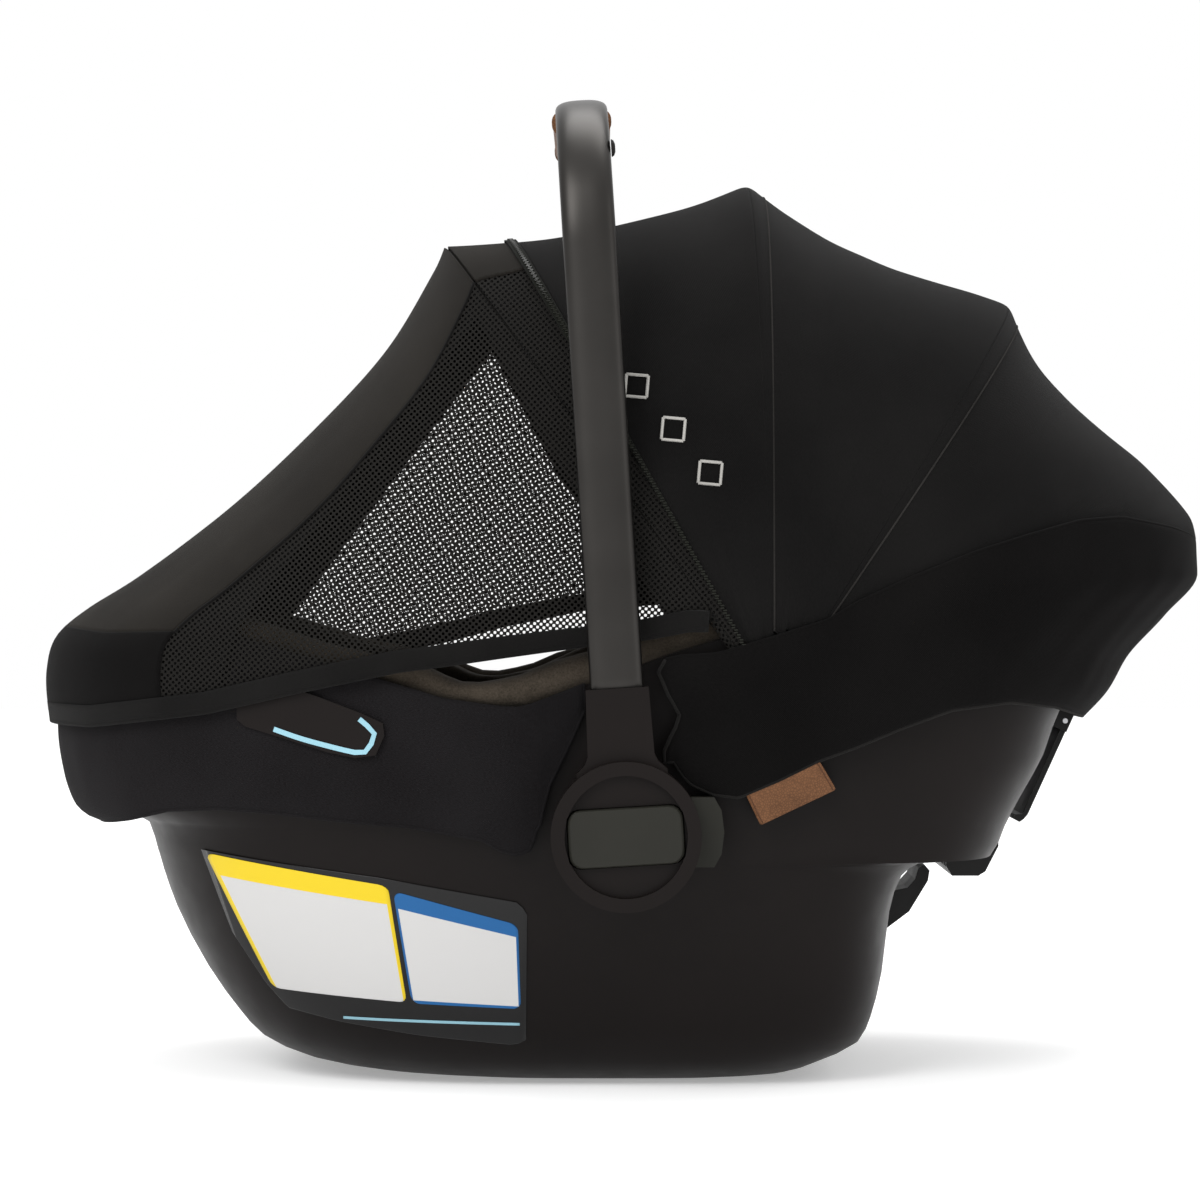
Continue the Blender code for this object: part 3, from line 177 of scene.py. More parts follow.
def area_light(name, place, target, size, power):
    lamp = bpy.data.lights.new(name, "AREA")
    lamp.energy = power
    lamp.shape = "RECTANGLE"
    lamp.size, lamp.size_y = size
    obj = bpy.data.objects.new(name, lamp)
    bpy.context.scene.collection.objects.link(obj)
    obj.location = place
    obj.rotation_euler = (Vector(target) - Vector(place)).to_track_quat("-Z", "Y").to_euler()


def make_studio(white):
    world = bpy.data.worlds.new("studio")
    bpy.context.scene.world = world
    world.use_nodes = True
    background = world.node_tree.nodes["Background"]
    background.inputs["Color"].default_value = (1.0, 1.0, 1.0, 1.0)
    background.inputs["Strength"].default_value = 1.0
    area_light("key", (-1.1, -2.2, 1.9), (0, 0, 0.25), (1.2, 1.6), 42)
    area_light("fill", (2.0, -1.4, 0.9), (0, 0, 0.25), (0.8, 1.8), 6)
    area_light("top", (0.2, 0.4, 2.4), (0, 0, 0.3), (1.6, 1.2), 34)
    bpy.ops.mesh.primitive_plane_add(size=14, location=(0, 0, -0.0005))
    floor = bpy.context.object
    floor.name = "floor"
    floor.data.materials.append(white)


# ---------------------------------------------------------------- materials
class Look:
    """A material being built: a Principled shader and short helpers to add nodes to it."""

    def __init__(self, name, roughness=0.5, metallic=0.0):
        self.material = bpy.data.materials.new(name)
        self.material.use_nodes = True
        self.tree = self.material.node_tree
        self.shader = self.tree.nodes["Principled BSDF"]
        self.set("Roughness", roughness)
        self.set("Metallic", metallic)

    def set(self, socket, value):
        self.shader.inputs[socket].default_value = value

    def node(self, kind, inputs=None, **settings):
        made = self.tree.nodes.new(kind)
        for key, value in settings.items():
            setattr(made, key, value)
        for key, value in (inputs or {}).items():
            if isinstance(value, bpy.types.NodeSocket):
                self.tree.links.new(value, made.inputs[key])
            else:
                made.inputs[key].default_value = value
        return made

    def link(self, value, socket):
        self.tree.links.new(value, self.shader.inputs[socket])

    def math(self, operation, a, b=0.0):
        return self.node("ShaderNodeMath", {0: a, 1: b}, operation=operation).outputs[0]

    def weighted(self, a, share, b):
        """A share of a and the rest of b."""
        return self.math("ADD", self.math("MULTIPLY", a, share), self.math("MULTIPLY", b, 1 - share))

    def place(self):
        return self.node("ShaderNodeTexCoord").outputs["Object"]

    def uv(self, name):
        return self.node("ShaderNodeUVMap", uv_map=name).outputs["UV"]

    def noise(self, scale, detail=2.0, vector=None, roughness=0.5):
        inputs = {"Scale": scale, "Detail": detail, "Roughness": roughness}
        inputs["Vector"] = self.place() if vector is None else vector
        return self.node("ShaderNodeTexNoise", inputs).outputs["Fac"]

    def ramp(self, factor, stops):
        made = self.node("ShaderNodeValToRGB", {"Fac": factor})
        ramp = made.color_ramp
        while len(ramp.elements) < len(stops):
            ramp.elements.new(0.5)
        for element, (position, colour) in zip(ramp.elements, stops):
            element.position = position
            element.color = (*colour, 1.0)
        return made.outputs["Color"]

    def mix(self, factor, a, b):
        made = self.node("ShaderNodeMix", data_type="RGBA")
        for index, value in ((0, factor), (6, a), (7, b)):
            if isinstance(value, bpy.types.NodeSocket):
                self.tree.links.new(value, made.inputs[index])
            else:
                made.inputs[index].default_value = value if index == 0 else (*value, 1.0)
        return made.outputs[2]

    def bump(self, height, strength, distance, normal=None):
        inputs = {"Height": height, "Strength": strength, "Distance": distance}
        if normal is not None:
            inputs["Normal"] = normal
        return self.node("ShaderNodeBump", inputs).outputs["Normal"]


def shaded(colour, share):
    return [part * share for part in colour]


def plastic(name, colour, roughness, grain=900.0, depth=0.00012, specular=0.16):
    """Moulded plastic: fine spark-eroded grain, slightly uneven gloss and tone."""
    look = Look(name, roughness)
    look.set("Specular IOR Level", specular)
    tones = [(0.35, shaded(colour, 0.86)), (0.70, shaded(colour, 1.16))]
    look.link(look.ramp(look.noise(9.0, 4.0), tones), "Base Color")
    gloss = look.math("MULTIPLY_ADD", look.noise(60.0, 3.0), 0.16)
    gloss.node.inputs[2].default_value = roughness - 0.08
    look.link(gloss, "Roughness")
    look.link(look.bump(look.noise(grain, 1.5), 0.35, depth), "Normal")
    return look.material


def weave_height(look, pitch):
    """A plain weave's relief from the cloth's own (across, along) map in metres, at this thread pitch."""
    split = look.node("ShaderNodeSeparateXYZ", {"Vector": look.uv("cloth")})
    turn = 2 * math.pi / pitch
    warp = look.math("SINE", look.math("MULTIPLY", split.outputs[0], turn))
    weft = look.math("SINE", look.math("MULTIPLY", split.outputs[1], turn))
    return look.math("MULTIPLY", warp, weft)


def fabric(name, dark, light, pitch=0.0009, sheen=0.03, melange=0.5, relief=0.00016):
    """Woven cloth: two-tone melange yarn, weave relief and fuzz."""
    look = Look(name, 0.92)
    look.set("Sheen Weight", sheen)
    look.set("Sheen Roughness", 0.55)
    look.set("Specular IOR Level", 0.04)
    along_yarn = {0: look.uv("cloth"), 1: (1.0, 3.4, 1.0)}
    stretch = look.node("ShaderNodeVectorMath", along_yarn, operation="MULTIPLY").outputs[0]
    yarn = look.noise(650.0, 3.0, stretch, 0.7)
    tone = look.weighted(yarn, melange, look.noise(14.0, 3.0))
    look.link(look.ramp(tone, [(0.36, dark), (0.64, light)]), "Base Color")
    height = look.math("ADD", weave_height(look, pitch), look.math("MULTIPLY", yarn, 0.9))
    look.link(look.bump(height, 0.55, relief), "Normal")
    return look.material


def studio_floor(name):
    look = Look(name, 0.9)
    look.set("Base Color", (0.85, 0.85, 0.85, 1.0))
    look.set("Emission Color", (1.0, 1.0, 1.0, 1.0))
    look.set("Emission Strength", 0.32)
    return look.material


def mesh_fabric(name, colour, pitch=0.00175, hole=0.20):
    """Open warp-knit mesh: staggered holes cut through with a transparent shader."""
    look = Look(name, 0.85)
    look.set("Base Color", (*colour, 1.0))
    look.set("Specular IOR Level", 0.05)
    split = look.node("ShaderNodeSeparateXYZ", {"Vector": look.uv("cloth")})
    u = look.math("MULTIPLY", split.outputs[0], math.pi / pitch)
    v = look.math("MULTIPLY", split.outputs[1], math.pi / pitch)
    height = look.math("MULTIPLY", look.math("COSINE", u), look.math("COSINE", v))
    solid = look.math("LESS_THAN", height, hole)
    look.link(look.bump(look.math("ABSOLUTE", height), 0.5, 0.0003), "Normal")
    clear = look.node("ShaderNodeBsdfTransparent")
    mixed = look.node("ShaderNodeMixShader", {0: solid})
    look.tree.links.new(clear.outputs[0], mixed.inputs[1])
    look.tree.links.new(look.shader.outputs[0], mixed.inputs[2])
    output = look.tree.nodes["Material Output"]
    look.tree.links.new(mixed.outputs[0], output.inputs["Surface"])
    return look.material


def knit(name, dark, light):
    """Soft brushed jersey in melange yarn, with a fleecy relief."""
    look = Look(name, 0.95)
    look.set("Sheen Weight", 0.10)
    look.set("Sheen Roughness", 0.5)
    look.set("Specular IOR Level", 0.05)
    yarn = look.noise(900.0, 4.0, roughness=0.75)
    tone = look.weighted(yarn, 0.65, look.noise(45.0, 3.0))
    look.link(look.ramp(tone, [(0.38, dark), (0.62, light)]), "Base Color")
    coarse = look.bump(look.noise(150.0, 3.0), 0.25, 0.0008)
    look.link(look.bump(yarn, 0.5, 0.00035, coarse), "Normal")
    return look.material


def leather(name, dark, light):
    """Pebbled leatherette: cell creases, the colour darkened in them as painted shade and lighter on the high
    spots.
    """
    look = Look(name, 0.55)
    look.set("Specular IOR Level", 0.15)
    grain = {"Vector": look.place(), "Scale": 720.0}
    cells = look.node("ShaderNodeTexVoronoi", grain, feature="DISTANCE_TO_EDGE")
    crease = look.math("MINIMUM", cells.outputs["Distance"], 0.22)
    cloud = look.math("MULTIPLY", look.noise(40.0, 4.0), 0.7)
    # Painted shade: the colour is darker towards the cell creases and lighter on the cells' high spots.
    tone = look.math("ADD", look.math("MULTIPLY", crease, 1.6), cloud)
    look.link(look.ramp(tone, [(0.22, dark), (0.75, light)]), "Base Color")
    look.link(look.bump(crease, 0.6, 0.00045), "Normal")
    return look.material


def metal(name, colour, roughness):
    """Bare or anodised metal with a faint cloud and fine grain."""
    look = Look(name, roughness, 1.0)
    tones = [(0.3, shaded(colour, 0.9)), (0.7, shaded(colour, 1.1))]
    look.link(look.ramp(look.noise(22.0, 3.0), tones), "Base Color")
    look.link(look.bump(look.noise(1400.0, 1.0), 0.15, 0.00005), "Normal")
    return look.material


def label_print(name, frame_colour, borders):
    """A printed plate: coloured frame with a deeper head band round one plain pale field, no lettering.

    borders are the frame's shares of the plate at the left, right, bottom and top."""
    look = Look(name, 0.35)
    look.set("Specular IOR Level", 0.2)
    split = look.node("ShaderNodeSeparateXYZ", {"Vector": look.uv("cloth")})
    left, right, bottom, top = borders
    field = look.math("GREATER_THAN", split.outputs[0], left)
    for kind, socket, limit in (
        ("LESS_THAN", 0, 1 - right), ("GREATER_THAN", 1, bottom), ("LESS_THAN", 1, 1 - top),
    ):
        field = look.math("MULTIPLY", field, look.math(kind, split.outputs[socket], limit))
    look.link(look.mix(field, frame_colour, (0.46, 0.455, 0.45)), "Base Color")
    look.link(look.bump(look.noise(300.0), 0.1, 0.00008), "Normal")
    return look.material


# ---------------------------------------------------------------- geometry helpers
def link_mesh(name, points, faces, look, smooth=True):
    mesh = bpy.data.meshes.new(name)
    mesh.from_pydata([tuple(map(float, p)) for p in points], [], faces)
    mesh.materials.append(look)
    mesh.polygons.foreach_set("use_smooth", [smooth] * len(mesh.polygons))
    obj = bpy.data.objects.new(name, mesh)
    bpy.context.scene.collection.objects.link(obj)
    return obj


def unit(vectors):
    return vectors / np.linalg.norm(vectors, axis=-1, keepdims=True)


def run_along(points):
    """Running length at each point of a path."""
    return np.concatenate([[0], np.cumsum(np.linalg.norm(np.diff(points, axis=0), axis=1))])


def lengths(points, axis):
    """Running length along one axis of a grid of points."""
    step = np.linalg.norm(np.diff(points, axis=axis), axis=2)
    total = np.cumsum(step, axis=axis)
    pad = np.zeros_like(np.take(total, [0], axis=axis))
    return np.concatenate([pad, total], axis=axis)


def coordinates(obj):
    co = np.zeros(len(obj.data.vertices) * 3)
    obj.data.vertices.foreach_get("co", co)
    return co.reshape(-1, 3)


def normals(obj):
    no = np.zeros(len(obj.data.vertices) * 3, np.float32)
    obj.data.vertex_normals.foreach_get("vector", no)
    return no.reshape(-1, 3).astype(float)


def set_coordinates(obj, co):
    obj.data.vertices.foreach_set("co", np.asarray(co, np.float32).ravel())
    obj.data.update()


def grid_corners(rows, cols):
    """The four grid places round each face of a grid with this many rows and columns of faces."""
    return [((i, j), (i, j + 1), (i + 1, j + 1), (i + 1, j)) for i in range(rows) for j in range(cols)]


def write_map(layer, u, v, corners):
    """Fills a UV layer from values at grid places; the end caps' corners get zeros."""
    values = [(u[place], v[place]) for face in corners for place in face]
    values += [(0.0, 0.0)] * (len(layer.data) - len(values))
    layer.data.foreach_set("uv", np.array(values, np.float32).ravel())


def grid_mesh(name, grid, look, closed=False, thick=0.0, capped=False):
    """A sheet over a grid of points (rows, columns, 3), with a cloth map in metres."""
    rows, cols, _ = grid.shape
    corners = grid_corners(rows - 1, cols if closed else cols - 1)
    faces = [tuple(i * cols + j % cols for i, j in face) for face in corners]
    if capped:
        faces += [tuple(range(cols))[::-1], tuple(range((rows - 1) * cols, rows * cols))]
    obj = link_mesh(name, grid.reshape(-1, 3), faces, look)
    looped = np.concatenate([grid, grid[:, :1]], axis=1) if closed else grid
    across, along = lengths(looped, 1), lengths(looped, 0)
    across = np.broadcast_to(across[rows // 2], across.shape)
    write_map(obj.data.uv_layers.new(name="cloth"), across, along, corners)
    if thick:
        solid = obj.modifiers.new("thickness", "SOLIDIFY")
        solid.thickness = thick
        solid.offset = 0.0
    return obj


def smooth_path(points, count):
    """Points evenly along a smooth curve (Catmull-Rom) through the given ones."""
    p = [np.array(q, float) for q in points]
    p = [2 * p[0] - p[1], *p, 2 * p[-1] - p[-2]]
    dense = []
    for i in range(1, len(p) - 2):
        for t in np.linspace(0, 1, 12, endpoint=False):
            a = 2 * p[i] + (p[i + 1] - p[i - 1]) * t
            b = (2 * p[i - 1] - 5 * p[i] + 4 * p[i + 1] - p[i + 2]) * t**2
            c = (3 * p[i] - p[i - 1] - 3 * p[i + 1] + p[i + 2]) * t**3
            dense.append((a + b + c) / 2)
    dense.append(p[-2])
    return resample(np.array(dense), count)


def resample(points, count):
    length = run_along(points)
    at = np.linspace(0, length[-1], count)
    return np.stack([np.interp(at, length, points[:, k]) for k in range(points.shape[1])], axis=1)


def oval(width, thick, count=24, power=2.8):
    turn = 2 * np.pi * (np.arange(count) + 0.5) / count
    c, s = np.cos(turn), np.sin(turn)
    u = width / 2 * np.sign(c) * np.abs(c) ** (2 / power)
    v = thick / 2 * np.sign(s) * np.abs(s) ** (2 / power)
    return np.stack([u, v], axis=1)


def sweep(name, path, wide, section, look):
    """A closed section along a path; wide is one direction, or one per point."""
    path = np.array(path, float)
    tangent = unit(np.gradient(path, axis=0))
    thin = unit(np.cross(tangent, np.broadcast_to(np.array(wide, float), path.shape)))
    wide = np.cross(thin, tangent)
    grid = path[:, None] + wide[:, None] * section[None, :, :1] + thin[:, None] * section[None, :, 1:2]
    return grid_mesh(name, grid, look, closed=True, capped=True)


def cord_along(name, path, radius, look, up=(0, 0, 1)):
    """A round piping or thread along a path."""
    turn = 2 * np.pi * np.arange(8) / 8
    return sweep(name, path, up, radius * np.stack([np.cos(turn), np.sin(turn)], axis=1), look)


def ripple(a, b, seed, scale=1.0):
    """Smooth pseudo-random relief from -1 to 1 over two coordinates: a few crossing sine waves."""
    random = np.random.default_rng(seed)
    total = 0.0
    for octave in range(5):
        turn = random.uniform(0, 2 * np.pi)
        pitch = scale * (1.0 + octave * 0.8)
        phase = random.uniform(0, 2 * np.pi)
        wander = 0.8 * np.sin(pitch * 0.7 * (a * math.sin(turn) - b * math.cos(turn)) + phase * 2)
        wave = pitch * (a * math.cos(turn) + b * math.sin(turn)) + phase + wander
        total = total + np.sin(wave) / (1 + octave)
    return total / 2.0


# ---------------------------------------------------------------- plan forms
def table_at(stations, z):
    """(foot x, head x, half width) of a form at heights z: monotone cubics between its stations."""
    table = np.array(stations)
    at = table[:, 0]
    step = np.diff(at)
    z = np.clip(z, at[0], at[-1])
    i = np.clip(np.searchsorted(at, z, side="right") - 1, 0, len(at) - 2)
    t = (z - at[i]) / step[i]
    found = []
    for values in table[:, 1:].T:
        rise = np.diff(values) / step
        both = rise[:-1] * rise[1:]
        mean = np.where(both > 0, 2 * both / np.where(both > 0, rise[:-1] + rise[1:], 1.0), 0.0)
        slope = np.concatenate([rise[:1], mean, rise[-1:]])
        a, b = values[i], values[i + 1]
        p, q = slope[i] * step[i], slope[i + 1] * step[i]
        found.append(a + p * t + (3 * (b - a) - 2 * p - q) * t**2 + (p + q - 2 * (b - a)) * t**3)
    return found


def plan_point(stations, powers, turn, z, out):
    """A point on the form at plan angle turn and height z, moved outwards by out. Arrays broadcast."""
    foot, head, half = table_at(stations, z)
    c, s = np.cos(turn), np.sin(turn)
    power = np.where(c > 0, powers[1], powers[0])
    reach = np.where(c > 0, head + out - PLAN_CENTRE, PLAN_CENTRE - foot + out)
    x = PLAN_CENTRE + np.sign(c) * reach * np.abs(c) ** (2 / power)
    y = np.sign(s) * (half + out) * np.abs(s) ** (2 / power)
    return np.stack(np.broadcast_arrays(x, y, z), axis=-1)


def line_at(line, x):
    table = np.array(line)
    return np.interp(x, table[:, 0], table[:, 1])


def band_surface(stations, powers, turns, low_line, high_line, rows, out):
    """A band of a form's surface between two side lines; out gives the offset over (share up, turns)."""
    share = np.linspace(0, 1, rows)[:, None]
    ends = []
    for line in (low_line, high_line):
        z = np.full_like(turns, 0.2)
        for _ in range(6):
            x = plan_point(stations, powers, turns, z, 0.0)[..., 0]
            z = line_at(line, x)
        ends.append(z)
    z = ends[0][None] * (1 - share) + ends[1][None] * share
    return plan_point(stations, powers, turns[None], z, out(share, turns[None]))


def even_turns(stations, powers, z, x_from, x_to, count, through=math.pi):
    """Plan angles evenly along the outline at height z, from x_from on the right to x_to on the left."""
    dense = np.linspace(-math.pi + 1e-4, math.pi - 1e-4, 4001)
    if through == math.pi:
        dense = np.mod(dense, 2 * math.pi)
        dense.sort()
    points = plan_point(stations, powers, dense, np.full_like(dense, z), 0.0)
    right = np.where(points[:, 1] < 0, np.abs(points[:, 0] - x_from), 9)
    left = np.where(points[:, 1] > 0, np.abs(points[:, 0] - x_to), 9)
    i, j = sorted((int(np.argmin(right)), int(np.argmin(left))))
    length = run_along(points[i : j + 1])
    return np.interp(np.linspace(0, length[-1], count), length, dense[i : j + 1])


# ---------------------------------------------------------------- canopy forms
def bow_curve(top, inset=0.0, start=0.0, count=401):
    """A hoop over the pivot axis, from the right side to the left, inset from its outline."""
    reach = np.linalg.norm(top - PIVOT) - inset
    first = math.asin(min((max(start, 1e-4) / reach), 1) ** (BOW_POWER / 2))
    turn = np.linspace(first, math.pi - first, count)
    c, s = np.cos(turn), np.sin(turn)
    y = -np.sign(c) * (PANEL_HALF - inset) * np.abs(c) ** (2 / BOW_POWER)
    out = reach * s ** (2 / BOW_POWER)
    return PIVOT + unit(top - PIVOT) * out[:, None] + np.stack([0 * y, y, 0 * y], axis=1)


def sagged_top(a, b, s, sag, skew):
    """A ridge point s of the way from a to b, pulled in towards the pivot; skew shifts the sag along."""
    top = a + (b - a) * s
    return top - unit(top - PIVOT) * (sag * 4 * s * (1 - s) * (1 + skew * (2 * s - 1)))


def canopy_profile():
    """The canopy's ridge line in side view, rounded over the hoops, and the place of each hoop on it."""
    steps, half_window, rounding = 200, 40, 0.0048
    tail, front = TAIL_TOP, FRONT_TOP
    rear, mid = REAR_TOP + (0.0050, 0, 0.0035), MID_TOP + (0.0, 0, 0.0062)
    tuck = np.array((0.3310, 0.0, 0.3100))  # just over the boot's top edge
    spans = (
        (tuck, tail, 0.0, 0.0), (tail, rear, 0.0078, 1.6), (rear, mid, 0.0094, 0.5), (mid, front, 0.0088, 0.0),
    )
    line = []
    for a, b, sag, skew in spans:
        line += [sagged_top(a, b, s, sag, skew) for s in np.linspace(0, 1, steps, endpoint=False)]
    line = np.array(line + [front])
    length = run_along(line)
    hoops = length[[0, 2 * steps, 3 * steps, 4 * steps]]
    even = np.linspace(0, length[-1], 1201)
    line = np.stack([np.interp(even, length, line[:, k]) for k in range(3)], axis=1)
    weight = np.exp(-((np.arange(-half_window, half_window + 1) * even[1] / rounding) ** 2))
    before = 2 * line[0] - line[half_window:0:-1]
    after = 2 * line[-1] - line[-2 : -half_window - 2 : -1]
    padded = np.concatenate([before, line, after])
    rounded = np.stack([np.convolve(padded[:, k], weight / weight.sum(), "valid") for k in range(3)], axis=1)
    return even, rounded, hoops


PROFILE = canopy_profile()


def profile_top(panel, s):
    """The ridge point s of the way along a panel: 0 tail to rear hoop, 1 rear to mid, 2 mid to front."""
    even, line, hoops = PROFILE
    at = hoops[panel] + (hoops[panel + 1] - hoops[panel]) * s
    return np.array([np.interp(at, even, line[:, k]) for k in range(3)])


def above_seam(curve):
    """The part of a hoop curve that is above the boot's top seam."""
    keep = np.where(curve[:, 2] > line_at(BOOT_SEAM, curve[:, 0]) - 0.0015)[0]
    return curve[keep[0] : keep[-1] + 1]


def panel_grid(panel, rows, cols, inset=0.0, low=0.0, high=1.0, seed=1, crease=0.0010):
    """A canopy panel between two hoops: it sags, creases lengthways and rounds over the hoops."""
    share = (1 - np.cos(np.linspace(0, math.pi, rows))) / 2
    share = low + (high - low) * (0.5 * share + 0.5 * np.linspace(0, 1, rows))
    lines = [resample(above_seam(bow_curve(profile_top(panel, s), inset)), cols) for s in share]
    grid = np.array(lines)
    s = share[:, None]
    v = np.linspace(0, 1, cols)[None]
    core = np.broadcast_to(PIVOT, grid.shape).copy()
    core[..., 1] = grid[..., 1] * 0.55
    near_ends = np.exp(-np.minimum(v, 1 - v) * 7)
    fold = ripple(s * 3.2, v * 5.0, seed, 2.2)
    fold = fold + 0.9 * ripple(s * 9.0 + 2 * v, v * 3.0, seed + 7, 1.6) * near_ends
    lift = crease * fold * (4 * s * (1 - s)) ** 0.7
    return grid + unit(grid - core) * lift[..., None]


def hem_points(v, inset):
    """The hem round the seat's foot end, v from 0 on the right to 1 on the left, with straight sides."""
    straight, half_width, reach_on = 0.13, 0.1897, 0.065
    half, foot = half_width - inset, DRAPE_RIDGE[-1][0] + inset
    turn = math.pi * np.clip((v - straight) / (1 - 2 * straight), 0, 1)
    c, s = np.cos(turn), np.sin(turn)
    x = PLAN_CENTRE + (foot - PLAN_CENTRE) * s ** (2 / SHELL_POWERS[0])
    y = -np.sign(c) * half * np.abs(c) ** (2 / SHELL_POWERS[0])
    x += reach_on * np.maximum(np.maximum(1 - v / straight, 1 - (1 - v) / straight), 0)
    z = np.where(y > 0, line_at(HEM_LEFT, x), line_at(HEM_RIGHT, x))
    return np.stack([x, y, z], axis=1)


def drape_grid(rows, cols, low=0.0, high=1.0, left=0.0, right=1.0, inset=0.0, crease=0.0015):
    """The foot drape from the front hoop (row 0) to its hem (last row), as a grid."""
    ridge = smooth_path(DRAPE_RIDGE, 81)
    length = np.linspace(0, 1, 81)
    offset = ridge - (ridge[0] + (ridge[-1] - ridge[0]) * length[:, None])
    bow = bow_curve(np.array((ridge[0][0], 0, ridge[0][1])), inset, 0.062, 801)
    t = np.linspace(low, high, rows)[:, None]
    v = np.linspace(left, right, cols)
    first = np.stack([np.interp(v, np.linspace(0, 1, 801), bow[:, k]) for k in range(3)], axis=1)
    hem = hem_points(v, inset)
    swell = np.sin(math.pi * v) ** 1.2
    grid = first[None] * (1 - t[..., None]) + hem[None] * t[..., None]
    for axis, column in ((0, 0), (2, 1)):
        grid[..., axis] += np.interp(t, length, offset[:, column]) * swell[None]
    grid[..., 1] += hem[None, :, 1] / 0.19 * 0.002 * np.sin(math.pi * t)
    fall = ripple(t * 3.0, v[None] * 6.0, 3, 2.4)
    fall = fall + 0.8 * ripple(t * 1.2, v[None] * 22.0, 8, 1.5) * t
    outward = unit(grid - np.array((-0.05, 0.0, 0.20)))
    hold = np.sin(math.pi * np.clip(t, 0.0, 1.0)) ** 0.6
    return grid + outward * (crease * fall * hold)[..., None]


# ---------------------------------------------------------------- looks
BLACK, BLACK_LIGHT = (0.0027, 0.0025, 0.0025), (0.0070, 0.0066, 0.0064)
BAND, BAND_LIGHT = (0.0036, 0.0034, 0.0033), (0.0090, 0.0086, 0.0083)
LOOKS = {
    "white": studio_floor("studio_white"),
    "shell": plastic("shell_plastic", (0.0044, 0.0031, 0.0028), 0.44, 1400.0, 0.00007, 0.10),
    "trim": plastic("trim_plastic", (0.0048, 0.0032, 0.0028), 0.42, 1500.0, 0.00005, 0.11),
    "black": plastic("black_plastic", (0.0040, 0.0038, 0.0037), 0.38, 1400.0, 0.00006),
    "grey": plastic("grey_plastic", (0.0130, 0.0128, 0.0098), 0.44, 1500.0, 0.00005),
    "red": plastic("red_plastic", (0.40, 0.014, 0.012), 0.35),
    "rubber": plastic("rubber", (0.006, 0.0055, 0.005), 0.75),
    "foam": plastic("bead_foam", (0.012, 0.012, 0.013), 0.90, 260.0, 0.0012),
    "blue": plastic("belt_blue", (0.22, 0.40, 0.47), 0.45),
    "backing": plastic("label_backing", (0.0032, 0.0030, 0.0032), 0.16, 300.0, 0.00002, 0.25),
    "caution": label_print("caution_plate", (0.60, 0.44, 0.012), (0.030, 0.022, 0.0, 0.160)),
    "fitting": label_print("fitting_plate", (0.009, 0.085, 0.24), (0.020, 0.020, 0.030, 0.150)),
    "tube": metal("anodised_tube", (0.036, 0.034, 0.032), 0.38),
    "steel": metal("steel", (0.45, 0.45, 0.46), 0.28),
    "canopy": fabric("canopy_cloth", BLACK, BLACK_LIGHT, melange=0.6),
    "drape": fabric(
        "drape_cloth", (0.0070, 0.0060, 0.0050), (0.0155, 0.0136, 0.0112), melange=0.55, relief=0.0002,
    ),
    "boot": fabric(
        "boot_cloth", (0.0018, 0.0016, 0.0016), (0.0048, 0.0044, 0.0043), sheen=0.015, melange=0.6,
    ),
    "band": fabric("band_cloth", BAND, BAND_LIGHT, pitch=0.0007),
    "skirt": fabric(
        "foot_cover_cloth", (0.0046, 0.0039, 0.0042), (0.0125, 0.0117, 0.0125), 0.0010, 0.015, 0.75,
    ),
    "mesh": mesh_fabric("drape_mesh", (0.010, 0.0094, 0.0086)),
    "pad": knit("pad_knit", (0.022, 0.0180, 0.0130), (0.056, 0.045, 0.034)),
    "insert": knit("insert_knit", (0.034, 0.028, 0.021), (0.080, 0.066, 0.051)),
    "charcoal": knit("charcoal_knit", (0.007, 0.007, 0.0075), (0.022, 0.0215, 0.023)),
    "webbing": fabric("webbing", (0.0060, 0.0060, 0.0062), (0.0160, 0.0160, 0.0165), 0.0016, relief=0.0004),
    "piping": fabric("piping_cloth", (0.0045, 0.0042, 0.0040), (0.0130, 0.0122, 0.0115), 0.0006),
    "seam": fabric("seam_cloth", (0.0100, 0.0092, 0.0085), (0.0240, 0.0225, 0.0210), 0.0006),
    "thread": plastic("pale_thread", (0.34, 0.33, 0.31), 0.8),
    "tan_thread": plastic("tan_thread", (0.08, 0.036, 0.018), 0.8),
    "leather": leather("leatherette", (0.060, 0.0255, 0.0105), (0.140, 0.062, 0.027)),
    "teeth": plastic("zip_teeth", (0.0100, 0.0105, 0.0075), 0.30),
    "tape": fabric("zip_tape", (0.0036, 0.0038, 0.0030), (0.0090, 0.0095, 0.0075), 0.0008),
}

# CAD nodes that show as they are: their look, and the width that their edges are broken by. * is each side
HARD = {
    "foam": {"foam_liner": 0.0},
    "trim": {"handle_mount_*": 0.0006, "handle_socket_*": 0.0010, "belt_guide_*": 0.0012},
    "black": {
        "rear_belt_hook": 0.0012, "rear_foot": 0.0015, "release_lever": 0.0010, "lever_bracket": 0.0008,
        "front_bow": 0.0, "mid_bow": 0.0, "rear_bow": 0.0, "canopy_mount_*": 0.0004,
        "buckle_housing": 0.0015, "chest_clip": 0.0010, "adjuster_bezel": 0.0010,
    },
    "grey": {"stroller_dock_*": 0.0012, "handle_button_*": 0.0008, "adjuster_button": 0.0008},
    "red": {"buckle_button": 0.0010},
    "rubber": {"handle_bumper_*": 0.0},
    "blue": {"belt_mark_*": 0.0},
    "steel": {"lever_pin": 0.0, "button_spring_*": 0.0, "buckle_tongue_*": 0.0005},
}


def dress_hard_node(name, look, width):
    node = frame["nodes"][name]
    node.data.materials.clear()
    node.data.materials.append(look)
    node.data.polygons.foreach_set("use_smooth", [True] * len(node.data.polygons))
    if width:
        bevel = node.modifiers.new("broken_edges", "BEVEL")
        bevel.width = width
        bevel.segments = 3
        bevel.limit_method = "ANGLE"
        bevel.angle_limit = math.radians(38)
        bevel.harden_normals = True
    split = node.modifiers.new("sharp_edges", "EDGE_SPLIT")
    split.split_angle = math.radians(42)


